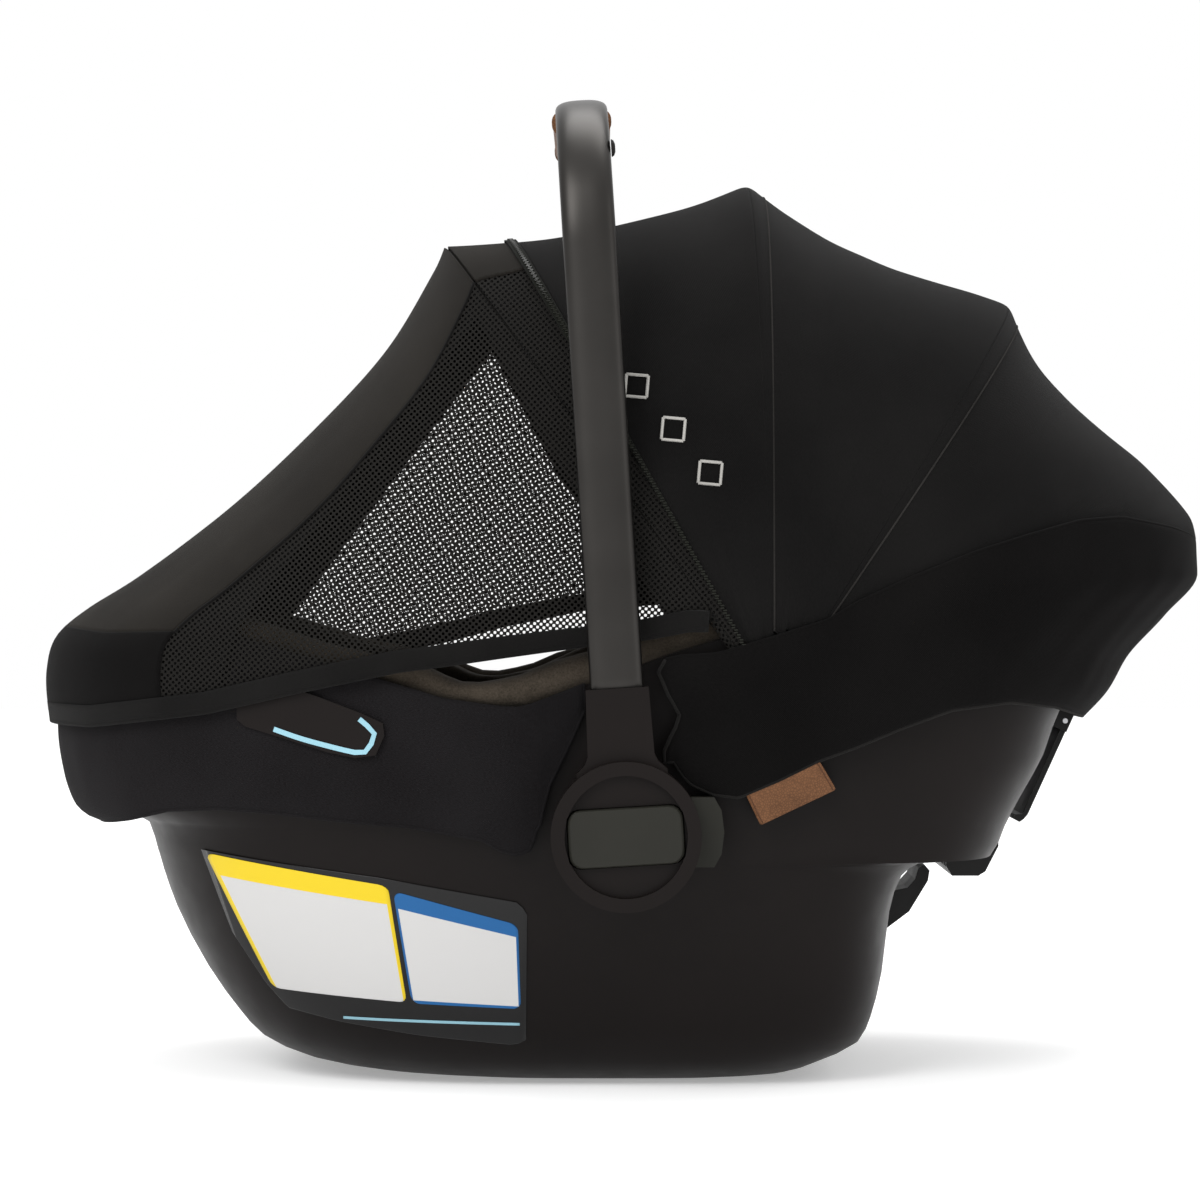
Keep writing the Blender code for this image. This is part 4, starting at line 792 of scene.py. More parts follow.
def dress_hard_nodes():
    for look, members in HARD.items():
        for pattern, width in members.items():
            for name in dict.fromkeys(pattern.replace("*", side) for side, _ in SIDES):
                dress_hard_node(name, LOOKS[look], width)


# ---------------------------------------------------------------- shell and covers
def rim_height(turns):
    """The shell rim's height at plan angles."""
    near_rim = plan_point(SHELL, SHELL_POWERS, turns, np.full_like(turns, 0.23), 0.0)
    return line_at(RIM, near_rim[:, 0])


def make_shell():
    """The moulded shell as one smooth skin, outside and inside, with a rolled rim."""
    low = [0.0, 0.0008, 0.0018, 0.003, 0.0055, 0.009, 0.014, 0.020, 0.027, 0.034, 0.045, 0.060, 0.078, 0.095]
    low += [0.106, 0.116, 0.121, 0.1252, 0.1262, 0.1275, 0.135, 0.144, 0.1465, 0.151, 0.157, 0.164, 0.174]
    low += [0.185, 0.200]
    turns = np.linspace(0, 2 * np.pi, 240, endpoint=False) + 0.013
    rim = rim_height(turns)

    def ring(z, out=0.0):
        return plan_point(SHELL, SHELL_POWERS, turns, z, out)

    rows = [ring(np.full(240, z)) for z in low]
    rows += [ring(low[-1] + (rim - low[-1]) * share) for share in (0.34, 0.67, 1.0)]
    rows += [ring(rim, -0.0030)]
    rows += [ring(low[-1] + (rim - low[-1]) * share, -SHELL_WALL) for share in (0.5, 0.0)]
    rows += [ring(np.full(240, max(z, 0.0036)), -SHELL_WALL) for z in low[::-1]]
    shell = grid_mesh("shell_body", np.array(rows), LOOKS["shell"], closed=True, capped=True)
    mark = shell.modifiers.new("sharp_edges", "EDGE_SPLIT")
    mark.split_angle = math.radians(55)
    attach(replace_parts(shell, "outer_shell"), "carrier")


def soft(obj, slot_name, body, *nodes):
    """Hides the CAD nodes that a soft piece stands for, and hangs it on the body it rides on."""
    if nodes:
        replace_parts(obj, *nodes)
    if body:
        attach(obj, body)
    return obj


def declare_sheet(grid, area=None):
    """Works out the finished cloth's area when it is not given; nothing is kept or recorded."""
    if area is None:
        a = np.cross(grid[1:, :-1] - grid[:-1, :-1], grid[:-1, 1:] - grid[:-1, :-1])
        b = np.cross(grid[1:, :-1] - grid[1:, 1:], grid[:-1, 1:] - grid[1:, 1:])
        area = (np.linalg.norm(a, axis=2).sum() + np.linalg.norm(b, axis=2).sum()) / 2


def sewn_edges(slot_name, *edges):
    """Piping on a cover of the carrier, each edge given as cord_along takes it."""
    return [soft(cord_along(*edge), slot_name, "carrier") for edge in edges]


def make_foot_cover():
    front = -0.0240
    turns = even_turns(SKIRT, SHELL_POWERS, 0.185, front, front, 260)

    def out(share, turn):
        fold = ripple(turn * 7.0, share * 2.2, 11, 1.7) * 0.0006
        fold = fold + ripple(turn * 2.6, share * 1.4, 12, 1.5) * 0.0006
        return -0.0015 + (0.0010 + fold) * np.sin(math.pi * share) ** 0.6

    rim = [(x, z + 0.0010) for x, z in RIM]
    grid = band_surface(SKIRT, SHELL_POWERS, turns, FOOT_COVER_EDGE, rim, 34, out)
    cover = grid_mesh("foot_cover_cloth", grid, LOOKS["skirt"], thick=COVER_THICK)
    soft(cover, "charcoal_fabric", "carrier", "foot_cover")
    edges = sewn_edges(
        "charcoal_fabric",
        ("foot_cover_piping", grid[0], 0.0014, LOOKS["skirt"]),
        ("foot_cover_front_right", grid[:, 0], 0.0011, LOOKS["skirt"], (0, 1, 0)),
        ("foot_cover_front_left", grid[:, -1], 0.0011, LOOKS["skirt"], (0, 1, 0)),
    )
    declare_sheet(grid)


def make_boot():
    front, reach = 0.0300, 0.0300
    turns = even_turns(BOOT, BOOT_POWERS, 0.245, front, front, 260, through=0)

    def out(share, turn):
        fold = ripple(turn * 5.0, share * 2.6, 21, 2.0) * 0.0011
        fold = fold + ripple(turn * 14.0, share * 1.5, 22, 1.2) * 0.0004
        return -0.0014 + 0.0012 * np.sin(math.pi * share) ** 0.5 + fold * np.sin(math.pi * share) ** 0.6

    grid = band_surface(BOOT, BOOT_POWERS, turns, BOOT_EDGE, BOOT_SEAM, 40, out)
    pull = np.clip(1 - (grid[..., 0] - front) / reach, 0, 1) ** 2
    grid[..., 0] += (line_at(BOOT_FRONT, grid[..., 2]) - front) * pull
    boot = grid_mesh("boot_cloth", grid, LOOKS["boot"], thick=BOOT_THICK)
    soft(boot, "black_fabric", "carrier", "head_boot")
    edges = sewn_edges(
        "black_fabric",
        ("boot_top_piping", grid[-1], 0.0014, LOOKS["boot"]),
        ("boot_lower_piping", grid[0], 0.0014, LOOKS["piping"]),
        ("boot_front_right", grid[:, 0], 0.0014, LOOKS["piping"], (0, 1, 0)),
        ("boot_front_left", grid[:, -1], 0.0014, LOOKS["piping"], (0, 1, 0)),
    )
    declare_sheet(grid)


def on_flank(x, z, out, sign, stations, powers):
    """Points on a form's flank at side positions (x, z), moved outwards by out."""
    foot, head, half = table_at(stations, z)
    power = np.where(x > PLAN_CENTRE, powers[1], powers[0])
    reach = np.where(x > PLAN_CENTRE, head - PLAN_CENTRE, PLAN_CENTRE - foot) + out
    share = np.clip(np.abs(x - PLAN_CENTRE) / reach, 0, 0.9999)
    y = sign * ((half + out) * (1 - share**power) ** (1 / power))
    return np.stack([x, y, z], axis=-1)


def flank_patch(low, high, rows, cols, out, sign, corner=0.0, stations=SHELL, powers=SHELL_POWERS):
    """A thin plate on a flank between a lower and an upper side line, with its four corners rounded."""
    low, high = (resample(np.array(line, float), 201) for line in (low, high))
    v = (1 - np.cos(np.linspace(0, math.pi, rows))) / 2
    u = np.linspace(0, 1, cols)
    width, height = np.linalg.norm(low[-1] - low[0]), np.linalg.norm(high[100] - low[100])
    near = np.minimum(v, 1 - v) * height
    inset = corner - np.sqrt(np.maximum(corner**2 - np.maximum(corner - near, 0) ** 2, 0))
    share = (inset / width)[:, None] + u[None] * (1 - 2 * inset / width)[:, None]
    at = np.linspace(0, 1, 201)
    x, z = (
        np.interp(share, at, low[:, k]) * (1 - v)[:, None] + np.interp(share, at, high[:, k]) * v[:, None]
        for k in (0, 1)
    )
    rise = np.broadcast_to(v[:, None], share.shape)
    return on_flank(x, z, out, sign, stations, powers), share, rise


def make_labels():
    """A glossy dark backing on each flank with printed plates: frames, head bands and plain fields only."""
    backing_low = [
        (-0.2214, 0.0853), (-0.2026, 0.0569), (-0.1900, 0.0428), (-0.1603, 0.0365), (-0.1146, 0.0296),
        (-0.0614, 0.0245), (-0.0552, 0.0276),
    ]
    backing_high = [(-0.2388, 0.1324), (-0.1354, 0.1194), (-0.0581, 0.1060), (-0.0542, 0.0992)]
    rows, cols, proud = 25, 40, 0.0011
    plates = (
        ("backing", backing_low, backing_high, 0.0007, 0.0),
        (
            "caution", ((-0.1984, 0.0543), (-0.1215, 0.0489)), ((-0.2363, 0.1308), (-0.1310, 0.1149)),
            proud, 0.0040,
        ),
        (
            "fitting", ((-0.1187, 0.0484), (-0.0579, 0.0458)), ((-0.1283, 0.1122), (-0.0592, 0.0936)),
            proud, 0.0045,
        ),
        ("blue", ((-0.1578, 0.0382), (-0.0586, 0.0362)), ((-0.1578, 0.0397), (-0.0586, 0.0377)), proud, 0.0),
    )
    for side, sign in SIDES:
        for kind, low, high, out, corner in plates:
            grid, u, v = flank_patch(low, high, rows, cols, out, sign, corner)
            plate = grid_mesh(f"{kind}_plate_{side}", grid, LOOKS[kind], thick=0.0002)
            write_map(plate.data.uv_layers["cloth"], u, v, grid_corners(rows - 1, cols - 1))
            soft(plate, "label_vinyl", "carrier", *([f"label_{side}"] if kind == "backing" else []))


def make_leather_tag():
    low, high = [(0.0735, 0.1499), (0.1148, 0.1695)], [(0.0654, 0.1668), (0.1056, 0.1850)]
    grid, _, _ = flank_patch(low, high, 10, 30, -0.0012, -1, 0.0012, BOOT, BOOT_POWERS)
    tag = grid_mesh("leather_tag_skin", grid, LOOKS["leather"], thick=0.0011)
    soft(tag, "leatherette", "carrier", "leather_tag")
    for side, column in (("front", 1), ("rear", 28)):
        path = grid[1:9, column] - (0, 0.0006, 0)
        cord = cord_along(f"tag_stitch_{side}", path, 0.00035, LOOKS["tan_thread"], (0, 1, 0))
        soft(cord, "leatherette", "carrier")
    declare_sheet(grid)


# ---------------------------------------------------------------- handle
def handle_points():
    """The tube's centre line and leaned frame, from the right hub to the left one."""
    top = HANDLE_RISE - TUBE_THICK / 2 - TUBE_ARCH
    centre_y, centre_z = TUBE_Y - TUBE_BEND, top - TUBE_BEND
    leg = [(-TUBE_Y, z) for z in np.linspace(0.0560, centre_z, 10)]
    turn = np.linspace(0, math.pi / 2, 40)[1:]
    bend = [(-centre_y - TUBE_BEND * math.cos(a), centre_z + TUBE_BEND * math.sin(a)) for a in turn]
    bar = [(y, top + TUBE_ARCH * (1 - (y / centre_y) ** 2)) for y in np.linspace(-0.090, 0, 14)]
    half = leg + bend + bar
    return np.array([(0.0, y, z) for y, z in half] + [(0.0, -y, z) for y, z in half[-2::-1]])


def lean(points):
    """Turns points from the handle's upright frame to its carrying position."""
    c, s = math.cos(HANDLE_LEAN), math.sin(HANDLE_LEAN)
    x, y, z = np.moveaxis(np.array(points, float), -1, 0)
    return HUB + np.stack([c * x + s * z, y, -s * x + c * z], axis=-1)


def make_handle():
    path = lean(handle_points())
    wide = (math.cos(HANDLE_LEAN), 0, -math.sin(HANDLE_LEAN))
    tube = sweep("handle_bar", path, wide, oval(TUBE_WIDTH, TUBE_THICK, 48), LOOKS["tube"])
    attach(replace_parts(tube, "handle_tube"), "handle")
    points = handle_points()
    bar = points[np.abs(points[:, 1]) < GRIP_HALF]
    end_z = np.interp(GRIP_HALF, [0.05, 0.09], [bar[0][2], bar[0][2] - 0.0015])
    right_end, left_end = ((0, sign * GRIP_HALF, end_z) for sign in (-1, 1))
    line = resample(np.array([right_end, *bar, left_end]), 90)
    section = oval(TUBE_WIDTH + 2 * GRIP_WALL, TUBE_THICK + 2 * GRIP_WALL, 48, 2.6)
    grip = sweep("handle_grip_skin", lean(line), wide, section, LOOKS["leather"])
    soft(grip, "leatherette", "handle", "handle_grip")
    under = line - np.array((0, 0, TUBE_THICK / 2 + GRIP_WALL + 0.0002))
    pieces = []
    for i in range(2, 87, 2):
        for side in (-1, 1):
            stitch = np.array([under[i] + (side * 0.0008, 0, 0), under[i + 1] + (side * 0.0040, 0, 0.0002)])
            pieces.append(lean(stitch))
    thread = join_threads("grip_stitches", pieces, 0.00045, LOOKS["tan_thread"])
    soft(thread, "leatherette", "handle")
    for end, middle in (("right", line[0]), ("left", line[-1])):
        across = lean(np.array([middle + (0, step, 0) for step in (-0.0012, 0.0012)]))
        ring = sweep(f"grip_end_{end}", across, wide, section * 1.03, LOOKS["leather"])
        soft(ring, "leatherette", "handle")


def join_threads(name, paths, radius, look):
    """Many short threads as one piece."""
    around = 2 * np.pi * np.arange(5) / 5
    points, faces = [], []
    for path in paths:
        path = np.array(path, float)
        tangent = unit(path[-1] - path[0])
        side = unit(np.cross(tangent, (0.31, 0.22, 0.92)))
        rise = np.cross(tangent, side)
        base = len(points)
        for p in path:
            points += [p + radius * (math.cos(a) * side + math.sin(a) * rise) for a in around]
        for a in range(base, base + 5 * (len(path) - 1), 5):
            faces += [(a + k, a + (k + 1) % 5, a + 5 + (k + 1) % 5, a + 5 + k) for k in range(5)]
        faces += [tuple(base + k for k in range(5))[::-1], tuple(len(points) - 5 + k for k in range(5))]
    return link_mesh(name, points, faces, look)


# ---------------------------------------------------------------- canopy
ZIP_FROM, ZIP_TO = 0.775, 0.810  # shares of the front panel
CROWN_FROM = 0.30  # share across the drape where mesh becomes solid cloth
CROWN_LAP = 0.02  # how far the lining reaches under the crown
MESH_TURN = {"left": 0.62, "right": 0.10}  # how the two mesh sides are cut from the roll


def ridge_piece(obj, slot_name, span, *nodes):
    """Cloth between two hoops: hides the CAD nodes it stands for and bakes its placement into its mesh."""
    soft(obj, slot_name, None, *nodes)
    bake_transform(obj)
    co = coordinates(obj)
    return obj


def make_canopy():
    panels = (("rear", 1.0, 31), ("mid", 1.0, 32), ("front", ZIP_FROM, 33))
    for number, (name, high, seed) in enumerate(panels):
        grid = panel_grid(number, 64, 150, high=high, seed=seed)
        panel = grid_mesh(f"canopy_cloth_{name}", grid, LOOKS["canopy"], thick=CANOPY_THICK)
        ridge_piece(panel, "black_fabric", name, f"canopy_panel_{name}")
        if name != "front":
            line = panel_grid(number, 3, 150, inset=-0.0006, low=0.925, high=0.935, crease=0.0)[1]
            cord = cord_along(f"canopy_seam_{name}", line, 0.0005, LOOKS["seam"], (1, 0, 0))
            ridge_piece(cord, "black_fabric", name)
        declare_sheet(grid)
    make_front_strip()


def parts_by_height(grid, heights, cols):
    """Splits hoop-wise curves at a height on each side: right part, top part, left part."""
    parts = ([], [], [])
    for curve, height in zip(grid, heights):
        top = np.where(curve[:, 2] > height)[0]
        i, j = top[0], top[-1]
        for part, piece in zip(parts, (curve[: i + 1], curve[i : j + 1], curve[j:])):
            part.append(resample(piece, cols))
    return [np.array(part) for part in parts]


def make_front_strip():
    """The drape's own cloth between the zip and the front hoop: crown on top, lined mesh at the sides."""
    rows = 26
    boundary = drape_grid(2, 2, 0.0, 0.01, CROWN_FROM, 1 - CROWN_FROM, crease=0.0)[0, 0, 2]
    heights = boundary + 0.008 * (1 - np.linspace(0, 1, rows))
    for layer, inset in (("cloth", 0.0), ("lining", 0.0016)):
        whole = panel_grid(2, rows, 900, inset=inset, low=ZIP_TO, high=1.0, crease=0.0006)
        for name, grid in zip(("right", "top", "left"), parts_by_height(whole, heights, 90)):
            if layer == "lining" and name == "top":
                continue
            look = "drape" if name == "top" else ("mesh" if layer == "cloth" else "band")
            see_through = look == "mesh"
            thick = 0.0 if see_through else 0.0010
            piece = grid_mesh(f"front_{layer}_{name}", grid, LOOKS[look], thick=thick)
            if see_through:
                side_map(piece, MESH_TURN[name])
            ridge_piece(piece, "mesh_fabric" if see_through else "black_fabric", "front")
            declare_sheet(grid)
    curve = above_seam(bow_curve(FRONT_TOP + (0.0008, 0, 0.0), 0.0046))
    wide, section = np.cross(unit(FRONT_TOP - PIVOT), (0, 1, 0)), oval(0.0095, 0.0066, 20, 2.1)
    for name, part in zip(("right", "top", "left"), parts_by_height([curve], [boundary], 120)):
        look = "drape" if name == "top" else "mesh"
        sleeve = sweep(f"front_sleeve_{name}", part[0], wide, section, LOOKS[look])
        soft(sleeve, "black_fabric", "front_hoop")


def make_zip():
    """Two tapes and a row of teeth behind the front hoop; the drape zips on here."""
    grid = panel_grid(2, 5, 150, inset=-0.0022, low=ZIP_FROM, high=ZIP_TO, crease=0.0)
    tape = grid_mesh("zip_tapes", grid, LOOKS["tape"], thick=0.0006)
    ridge_piece(tape, "zip_tape", "front", "canopy_zip")
    line = resample(grid[2], 520)
    tangent = unit(np.gradient(line, axis=0))
    across = np.broadcast_to(unit(grid[3, 75] - grid[1, 75]), line.shape)
    out = np.cross(across, tangent)
    out *= np.sign((out * (line - PIVOT)).sum(axis=1))[:, None]
    half_wide, half_long, half_tall, stagger = 0.0010, 0.0004, 0.0005, 0.0004
    block = [(u, v, w) for u in (-1, 1) for v in (-1, 1) for w in (-1, 1)]
    sides = ((0, 1, 3, 2), (4, 6, 7, 5), (0, 4, 5, 1), (2, 3, 7, 6), (0, 2, 6, 4), (1, 5, 7, 3))
    points, faces = [], []
    for i in range(len(line)):
        faces += [tuple(len(points) + k for k in corners) for corners in sides]
        for u, v, w in block:
            shift = across[i] * (stagger * (-1) ** i + u * half_wide) + tangent[i] * v * half_long
            points.append(line[i] + shift + out[i] * (half_tall + w * half_tall))
    teeth = link_mesh("zip_teeth", points, faces, LOOKS["teeth"], smooth=False)
    ridge_piece(teeth, "zip_tape", "front")


def on_points(points, x, z):
    """The place at (x, z) on a surface given as points, from the points near it."""
    away = np.hypot(points[:, 0] - x, points[:, 2] - z)
    near = np.argsort(away)[:6]
    weight = 1 / (away[near] + 0.0002)
    return np.array((x, (points[near, 1] * weight).sum() / weight.sum(), z))


def make_motif():
    """A small plain figure, three stitched diamonds in a row, on each side of the front panel."""
    surface = panel_grid(2, 120, 480, inset=-0.0012, low=0.10, high=0.75, crease=0.0).reshape(-1, 3)
    first, last, size = np.array((0.0060, 0.3900)), np.array((0.0460, 0.3420)), 0.0085
    along = unit(last - first) * size
    across = np.array((along[1], -along[0]))
    for side, sign in SIDES:
        points = surface[surface[:, 1] * sign > 0]
        paths = []
        for centre in (first, (first + last) / 2, last):
            corners = [centre + along, centre + across, centre - along, centre - across]
            for a, b in zip(corners, corners[1:] + corners[:1]):
                flat = [a + (b - a) * t for t in np.linspace(0, 1, 7)]
                paths.append([on_points(points, x, z) for x, z in flat])
        motif = join_threads(f"stitched_motif_{side}", paths, 0.0009, LOOKS["thread"])
        ridge_piece(motif, "black_fabric", "front")


def side_map(obj, turn):
    """Lays a see-through side's cloth map flat on the side plane, turned, so that its holes stay even."""
    c, s = math.cos(turn), math.sin(turn)
    places = [obj.data.vertices[loop.vertex_index].co for loop in obj.data.loops]
    values = [(c * p.x - s * p.z, s * p.x + c * p.z) for p in places]
    obj.data.uv_layers["cloth"].data.foreach_set("uv", np.array(values, np.float32).ravel())
    return obj


def lined(name, grid):
    """The opaque lining of a see-through side: the sheet's part above the lining's lower edge."""
    obj = grid_mesh(name, grid, LOOKS["band"])
    bm = bmesh.new()
    bm.from_mesh(obj.data)
    for (x0, z0), (x1, z1) in zip(LINING, LINING[1:]):
        geom = bm.verts[:] + bm.edges[:] + bm.faces[:]
        bmesh.ops.bisect_plane(bm, geom=geom, dist=1e-5, plane_co=(x0, 0, z0), plane_no=(z1 - z0, 0, x0 - x1))
    middles = [(face, face.calc_center_median()) for face in bm.faces]
    drop = [face for face, middle in middles if middle.z < line_at(LINING, middle.x)]
    bmesh.ops.delete(bm, geom=drop, context="FACES")
    bm.to_mesh(obj.data)
    bm.free()
    declare_sheet(grid, area=sum(face.area for face in obj.data.polygons))
    return obj


def make_drape():
    """Solid crown with a darker end drawn as painted shade, see-through lined sides and a bound hem; it hangs
    from the front hoop.
    """
    end, shade_from, hem_depth = 0.985, 0.845, 0.0112

    def follow(obj, slot_name, *nodes):
        soft(obj, slot_name, "front_hoop", *nodes)
        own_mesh(obj)

    crown = drape_grid(90, 110, 0.0, shade_from, CROWN_FROM, 1 - CROWN_FROM)
    obj = grid_mesh("drape_crown", crown, LOOKS["drape"], thick=DRAPE_THICK)
    follow(obj, "black_fabric", "drape_top")
    # Painted shade: the drape's end is drawn in the boot's darker cloth, standing for the shade that falls on
    # it from the light above.
    end_shade = drape_grid(26, 110, shade_from, end, CROWN_FROM, 1 - CROWN_FROM)
    end_shade_cloth = grid_mesh("drape_end_painted_shade", end_shade, LOOKS["boot"], thick=DRAPE_THICK)
    follow(end_shade_cloth, "black_fabric")
    declare_sheet(end_shade)
    for side, column in (("right", 0), ("left", -1)):
        seam = cord_along(f"drape_seam_{side}", crown[:, column], 0.0010, LOOKS["band"])
        follow(seam, "black_fabric")
    ring = cord_along("drape_end_seam", crown[-1], 0.0008, LOOKS["band"])
    follow(ring, "black_fabric")
    declare_sheet(crown)
    for side, left, right in (("right", 0.0, CROWN_FROM), ("left", 1 - CROWN_FROM, 1.0)):
        grid = drape_grid(90, 60, 0.0, end, left, right, crease=0.0010)
        obj = side_map(grid_mesh(f"drape_mesh_cloth_{side}", grid, LOOKS["mesh"]), MESH_TURN[side])
        follow(obj, "mesh_fabric", f"drape_mesh_{side}")
        declare_sheet(grid)
        under = (left, right + CROWN_LAP) if side == "right" else (left - CROWN_LAP, right)
        lining = lined(f"drape_lining_{side}", drape_grid(90, 60, 0.0, end, *under, 0.0014, crease=0.0010))
        follow(lining, "black_fabric")
    v = np.linspace(0, 1, 200)
    low = hem_points(v, -0.0006)
    rise = drape_grid(2, 200, 0.93, 1.0, inset=-0.0006, crease=0.0)[0] - low
    rise *= hem_depth / np.linalg.norm(rise, axis=1, keepdims=True)
    grid = low[None] + rise[None] * np.linspace(1, 0, 5)[:, None, None]
    hem = grid_mesh("drape_hem_band", grid, LOOKS["band"], thick=HEM_THICK)
    follow(hem, "black_fabric", "drape_hem")
    edge = cord_along("drape_hem_edge", grid[-1], 0.0013, LOOKS["band"])
    follow(edge, "black_fabric")
    declare_sheet(grid)


# ---------------------------------------------------------------- padding and webbing
BACK_ALONG = np.array((0.72, 0.0, 0.694)) / math.hypot(0.72, 0.694)
BACK_OUT = np.array((-BACK_ALONG[2], 0.0, BACK_ALONG[0]))


def on_back(s, out, y=0.0):
    return np.array((0.0300, y, 0.1040)) + BACK_ALONG * s + BACK_OUT * out


def copied_mesh(name, node, look):
    obj = bpy.data.objects.new(name, frame["nodes"][node].data.copy())
    bpy.context.scene.collection.objects.link(obj)
    obj.data.materials.clear()
    obj.data.materials.append(look)
    return obj


def apply_modifiers(obj):
    """Replaces an object's mesh by its evaluated one."""
    graph = bpy.context.evaluated_depsgraph_get()
    graph.update()
    mesh = bpy.data.meshes.new_from_object(obj.evaluated_get(graph))
    look = obj.data.materials[0]
    obj.modifiers.clear()
    obj.data = mesh
    mesh.materials.clear()
    mesh.materials.append(look)
    mesh.polygons.foreach_set("use_smooth", [True] * len(mesh.polygons))


def remeshed(name, node, look, voxel):
    obj = copied_mesh(name, node, look)
    mod = obj.modifiers.new("voxels", "REMESH")
    mod.mode = "VOXEL"
    mod.voxel_size = voxel
    apply_modifiers(obj)
    return obj


def soften(obj, times):
    smooth = obj.modifiers.new("soften", "SMOOTH")
    smooth.factor, smooth.iterations = 0.5, times


def stuff(obj, pressure, frames, limit):
    """Stuffs a closed cloth bag by simulation; no point moves more than limit."""
    before = coordinates(obj)
    cloth = obj.modifiers.new("stuffing", "CLOTH")
    settings = cloth.settings
    settings.quality = 5
    settings.mass = 0.25
    settings.tension_stiffness = settings.compression_stiffness = 12
    settings.bending_stiffness = 0.4
    settings.use_pressure = True
    settings.uniform_pressure_force = pressure
    settings.effector_weights.gravity = 0.0
    cloth.point_cache.frame_start, cloth.point_cache.frame_end = 1, frames
    scene = bpy.context.scene
    for number in range(1, frames + 1):
        scene.frame_set(number)
    apply_modifiers(obj)
    scene.frame_set(1)
    after = coordinates(obj)
    move = after - before
    size = np.linalg.norm(move, axis=1, keepdims=True)
    set_coordinates(obj, before + move * np.minimum(1, limit / np.maximum(size, 1e-9)))
    soften(obj, 5)
    divide = obj.modifiers.new("finer", "SUBSURF")
    divide.levels = divide.render_levels = 1
    apply_modifiers(obj)


def relief(obj, height):
    """Moves each point along its normal by height(points)."""
    co = coordinates(obj)
    set_coordinates(obj, co + normals(obj) * height(co)[:, None])


def make_padding():
    """The quilted seat pad, its rolled rim, the newborn insert and the head support."""
    pad = remeshed("seat_pad_quilt", "seat_pad", LOOKS["pad"], 0.0045)
    soften(pad, 4)
    apply_modifiers(pad)

    def quilting(co):
        row = np.abs(np.sin(math.pi * (co[:, 0] * 0.55 + co[:, 2] * 0.83) / 0.046))
        puff = 0.0022 * (row**0.55 - 0.8) * np.clip((0.215 - co[:, 2]) / 0.02, 0, 1)
        return puff + 0.0006 * ripple(co[:, 0] * 50, co[:, 1] * 50, 41, 1.0)

    relief(pad, quilting)
    soft(pad, "taupe_pad", "carrier", "seat_pad")

    turns = np.linspace(0, 2 * np.pi, 220) + 0.013
    rim = rim_height(turns)
    path = plan_point(SHELL, SHELL_POWERS, turns, rim, -0.0075)
    top = line_at(PAD_RIM, path[:, 0])
    path[:, 2] = (rim + top) / 2 + 0.0006
    tall = (top - rim + 0.0040)[:, None, None] / 0.0150
    lumps = 1 + 0.05 * ripple(turns * 9, turns * 0, 43, 2.0)[:, None, None]
    section = oval(0.0190, 0.0150, 20, 2.2)
    tangent = unit(np.gradient(path, axis=0))
    side = unit(np.cross(tangent, (0, 0, 1)))
    rise = np.cross(side, tangent)
    shape = side[:, None] * section[None, :, :1] + rise[:, None] * section[None, :, 1:2] * tall
    grid = path[:, None] + shape * lumps
    roll = grid_mesh("seat_pad_roll", grid, LOOKS["pad"], closed=True, capped=True)
    soft(roll, "taupe_pad", "carrier")

    for name, node, voxel, pressure, limit in (
        ("newborn_cushion", "newborn_insert", 0.0050, 3.0, 0.005),
        ("head_cushion", "head_support", 0.0050, 4.0, 0.006),
    ):
        cushion = remeshed(name, node, LOOKS["insert"], voxel)
        stuff(cushion, pressure, 18, limit)
        relief(cushion, lambda co: 0.0007 * ripple(co[:, 0] * 60, co[:, 1] * 60 + co[:, 2] * 30, 44, 1.0))
        soft(cushion, "taupe_pad", "carrier", node)


def strap(name, path, width, wide, node=None, thick=0.0016):
    obj = sweep(name, path, wide, oval(width, thick, 16, 5.0), LOOKS["webbing"])
    soft(obj, "webbing", "carrier", *([node] if node else []))


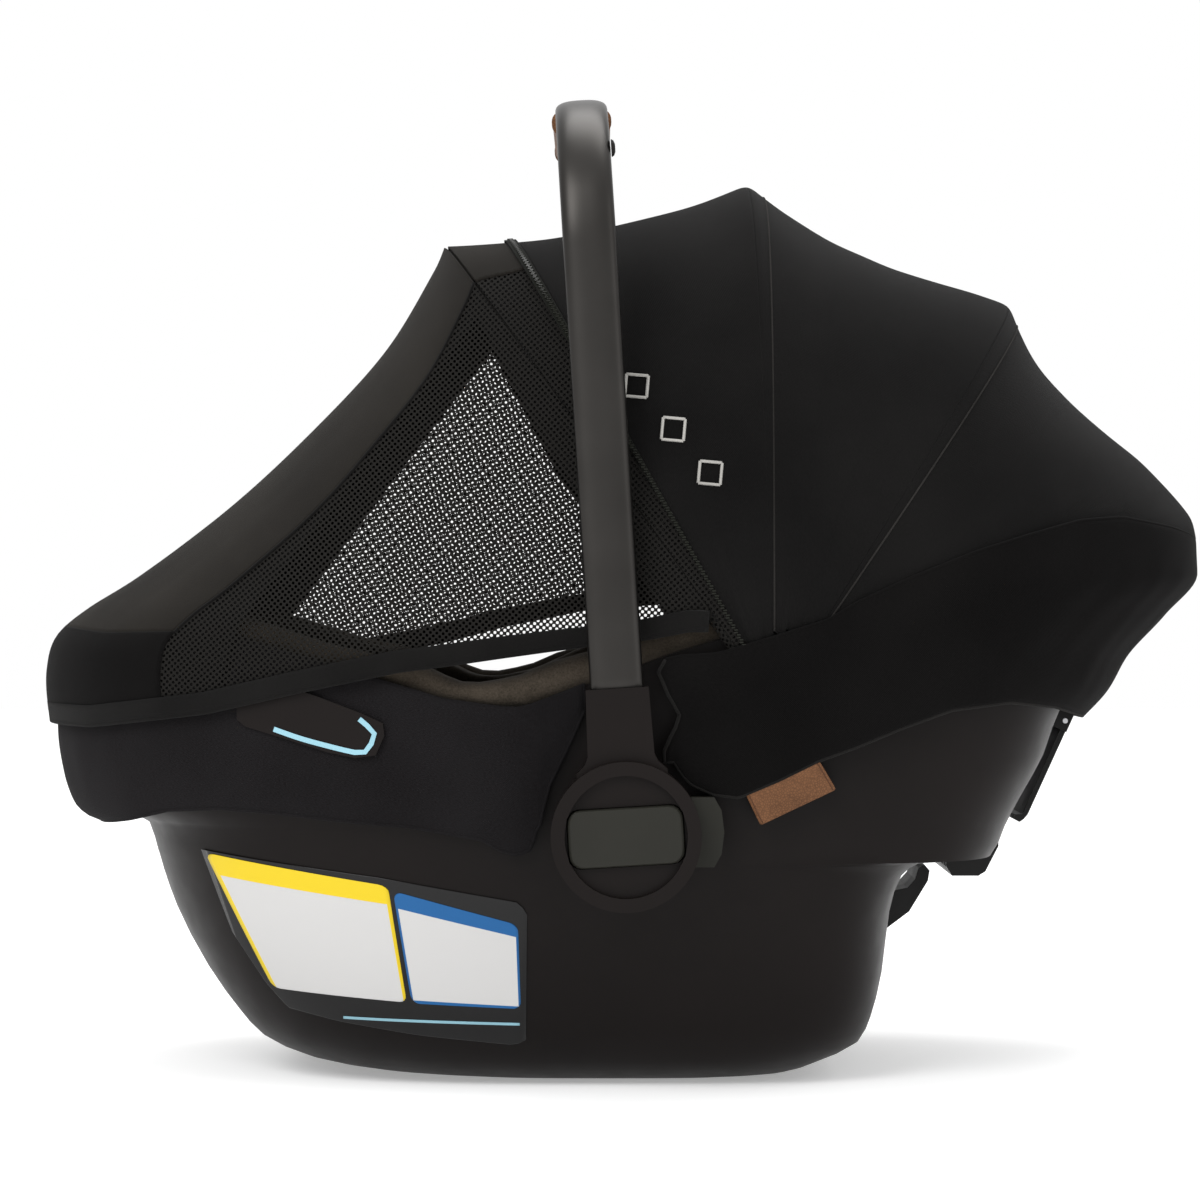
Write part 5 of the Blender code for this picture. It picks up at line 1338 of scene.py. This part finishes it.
def make_harness():
    along, out = np.array((0.80, 0, 0.60)), np.array((-0.60, 0, 0.80))
    base = np.array((-0.0520, 0, 0.1190))
    tongue_at = base + along * 0.0389 + out * 0.0060
    over, lap = tongue_at + along * 0.0170 + out * 0.0066, tongue_at + along * 0.0060 + out * 0.0054
    # Along the back, proud of it, and half the straps' spacing
    marks = (
        (0.1170, 0.0085, 0.030), (0.1000, 0.0215, 0.031), (0.0600, 0.0250, 0.030), (0.0200, 0.0450, 0.022),
    )
    for side, sign in SIDES:
        points = [on_back(s, lift, sign * y) for s, lift, y in marks]
        points += [np.array((p[0], sign * 0.0140, p[2])) for p in (over, lap)]
        path = smooth_path(points, 90)
        strap(f"shoulder_webbing_{side}", path, 0.0250, (0, 1, 0), f"shoulder_strap_{side}")
        hip = [
            (tongue_at[0] + 0.0015, 0.0187, tongue_at[2] - 0.002), (-0.0160, 0.0350, 0.1440),
            (-0.0120, 0.0520, 0.1330), (-0.0070, 0.0700, 0.1190), (-0.0020, 0.0860, 0.1060),
        ]
        hip_path = smooth_path([(x, sign * y, z) for x, y, z in hip], 40)
        strap(f"hip_webbing_{side}", hip_path, 0.0250, (1, 0, 0.35), f"hip_strap_{side}")
        part = path[18:56]
        lift = -np.cross(unit(np.gradient(part, axis=0)), (0, 1, 0))
        puff = np.sin(np.linspace(0.12, math.pi - 0.12, len(part))) ** 0.35
        section = oval(0.0460, 0.0068, 32, 2.6)
        sides = np.array((0, 1.0, 0))
        rows = part[:, None] + sides * section[None, :, :1] * puff[:, None, None] ** 0.4
        rows = rows + (lift * 0.0044)[:, None] + lift[:, None] * section[None, :, 1:2] * puff[:, None, None]
        pad = grid_mesh(f"shoulder_pad_cover_{side}", rows, LOOKS["charcoal"], closed=True, capped=True)
        soft(pad, "charcoal_fabric", "carrier", f"shoulder_pad_{side}")
    crotch = smooth_path([(-0.0945, 0, 0.1045), (-0.0880, 0, 0.1052), (-0.0800, 0, 0.1080)], 12)
    strap("crotch_webbing", crotch, 0.0300, (0, 1, 0), "crotch_strap", 0.0018)


def write_size():
    graph = bpy.context.evaluated_depsgraph_get()
    graph.update()


make_studio(LOOKS["white"])
dress_hard_nodes()
make_shell()
make_foot_cover()
make_boot()
make_labels()
make_leather_tag()
make_handle()
make_canopy()
make_zip()
make_motif()
make_drape()
make_padding()
make_harness()
write_size()
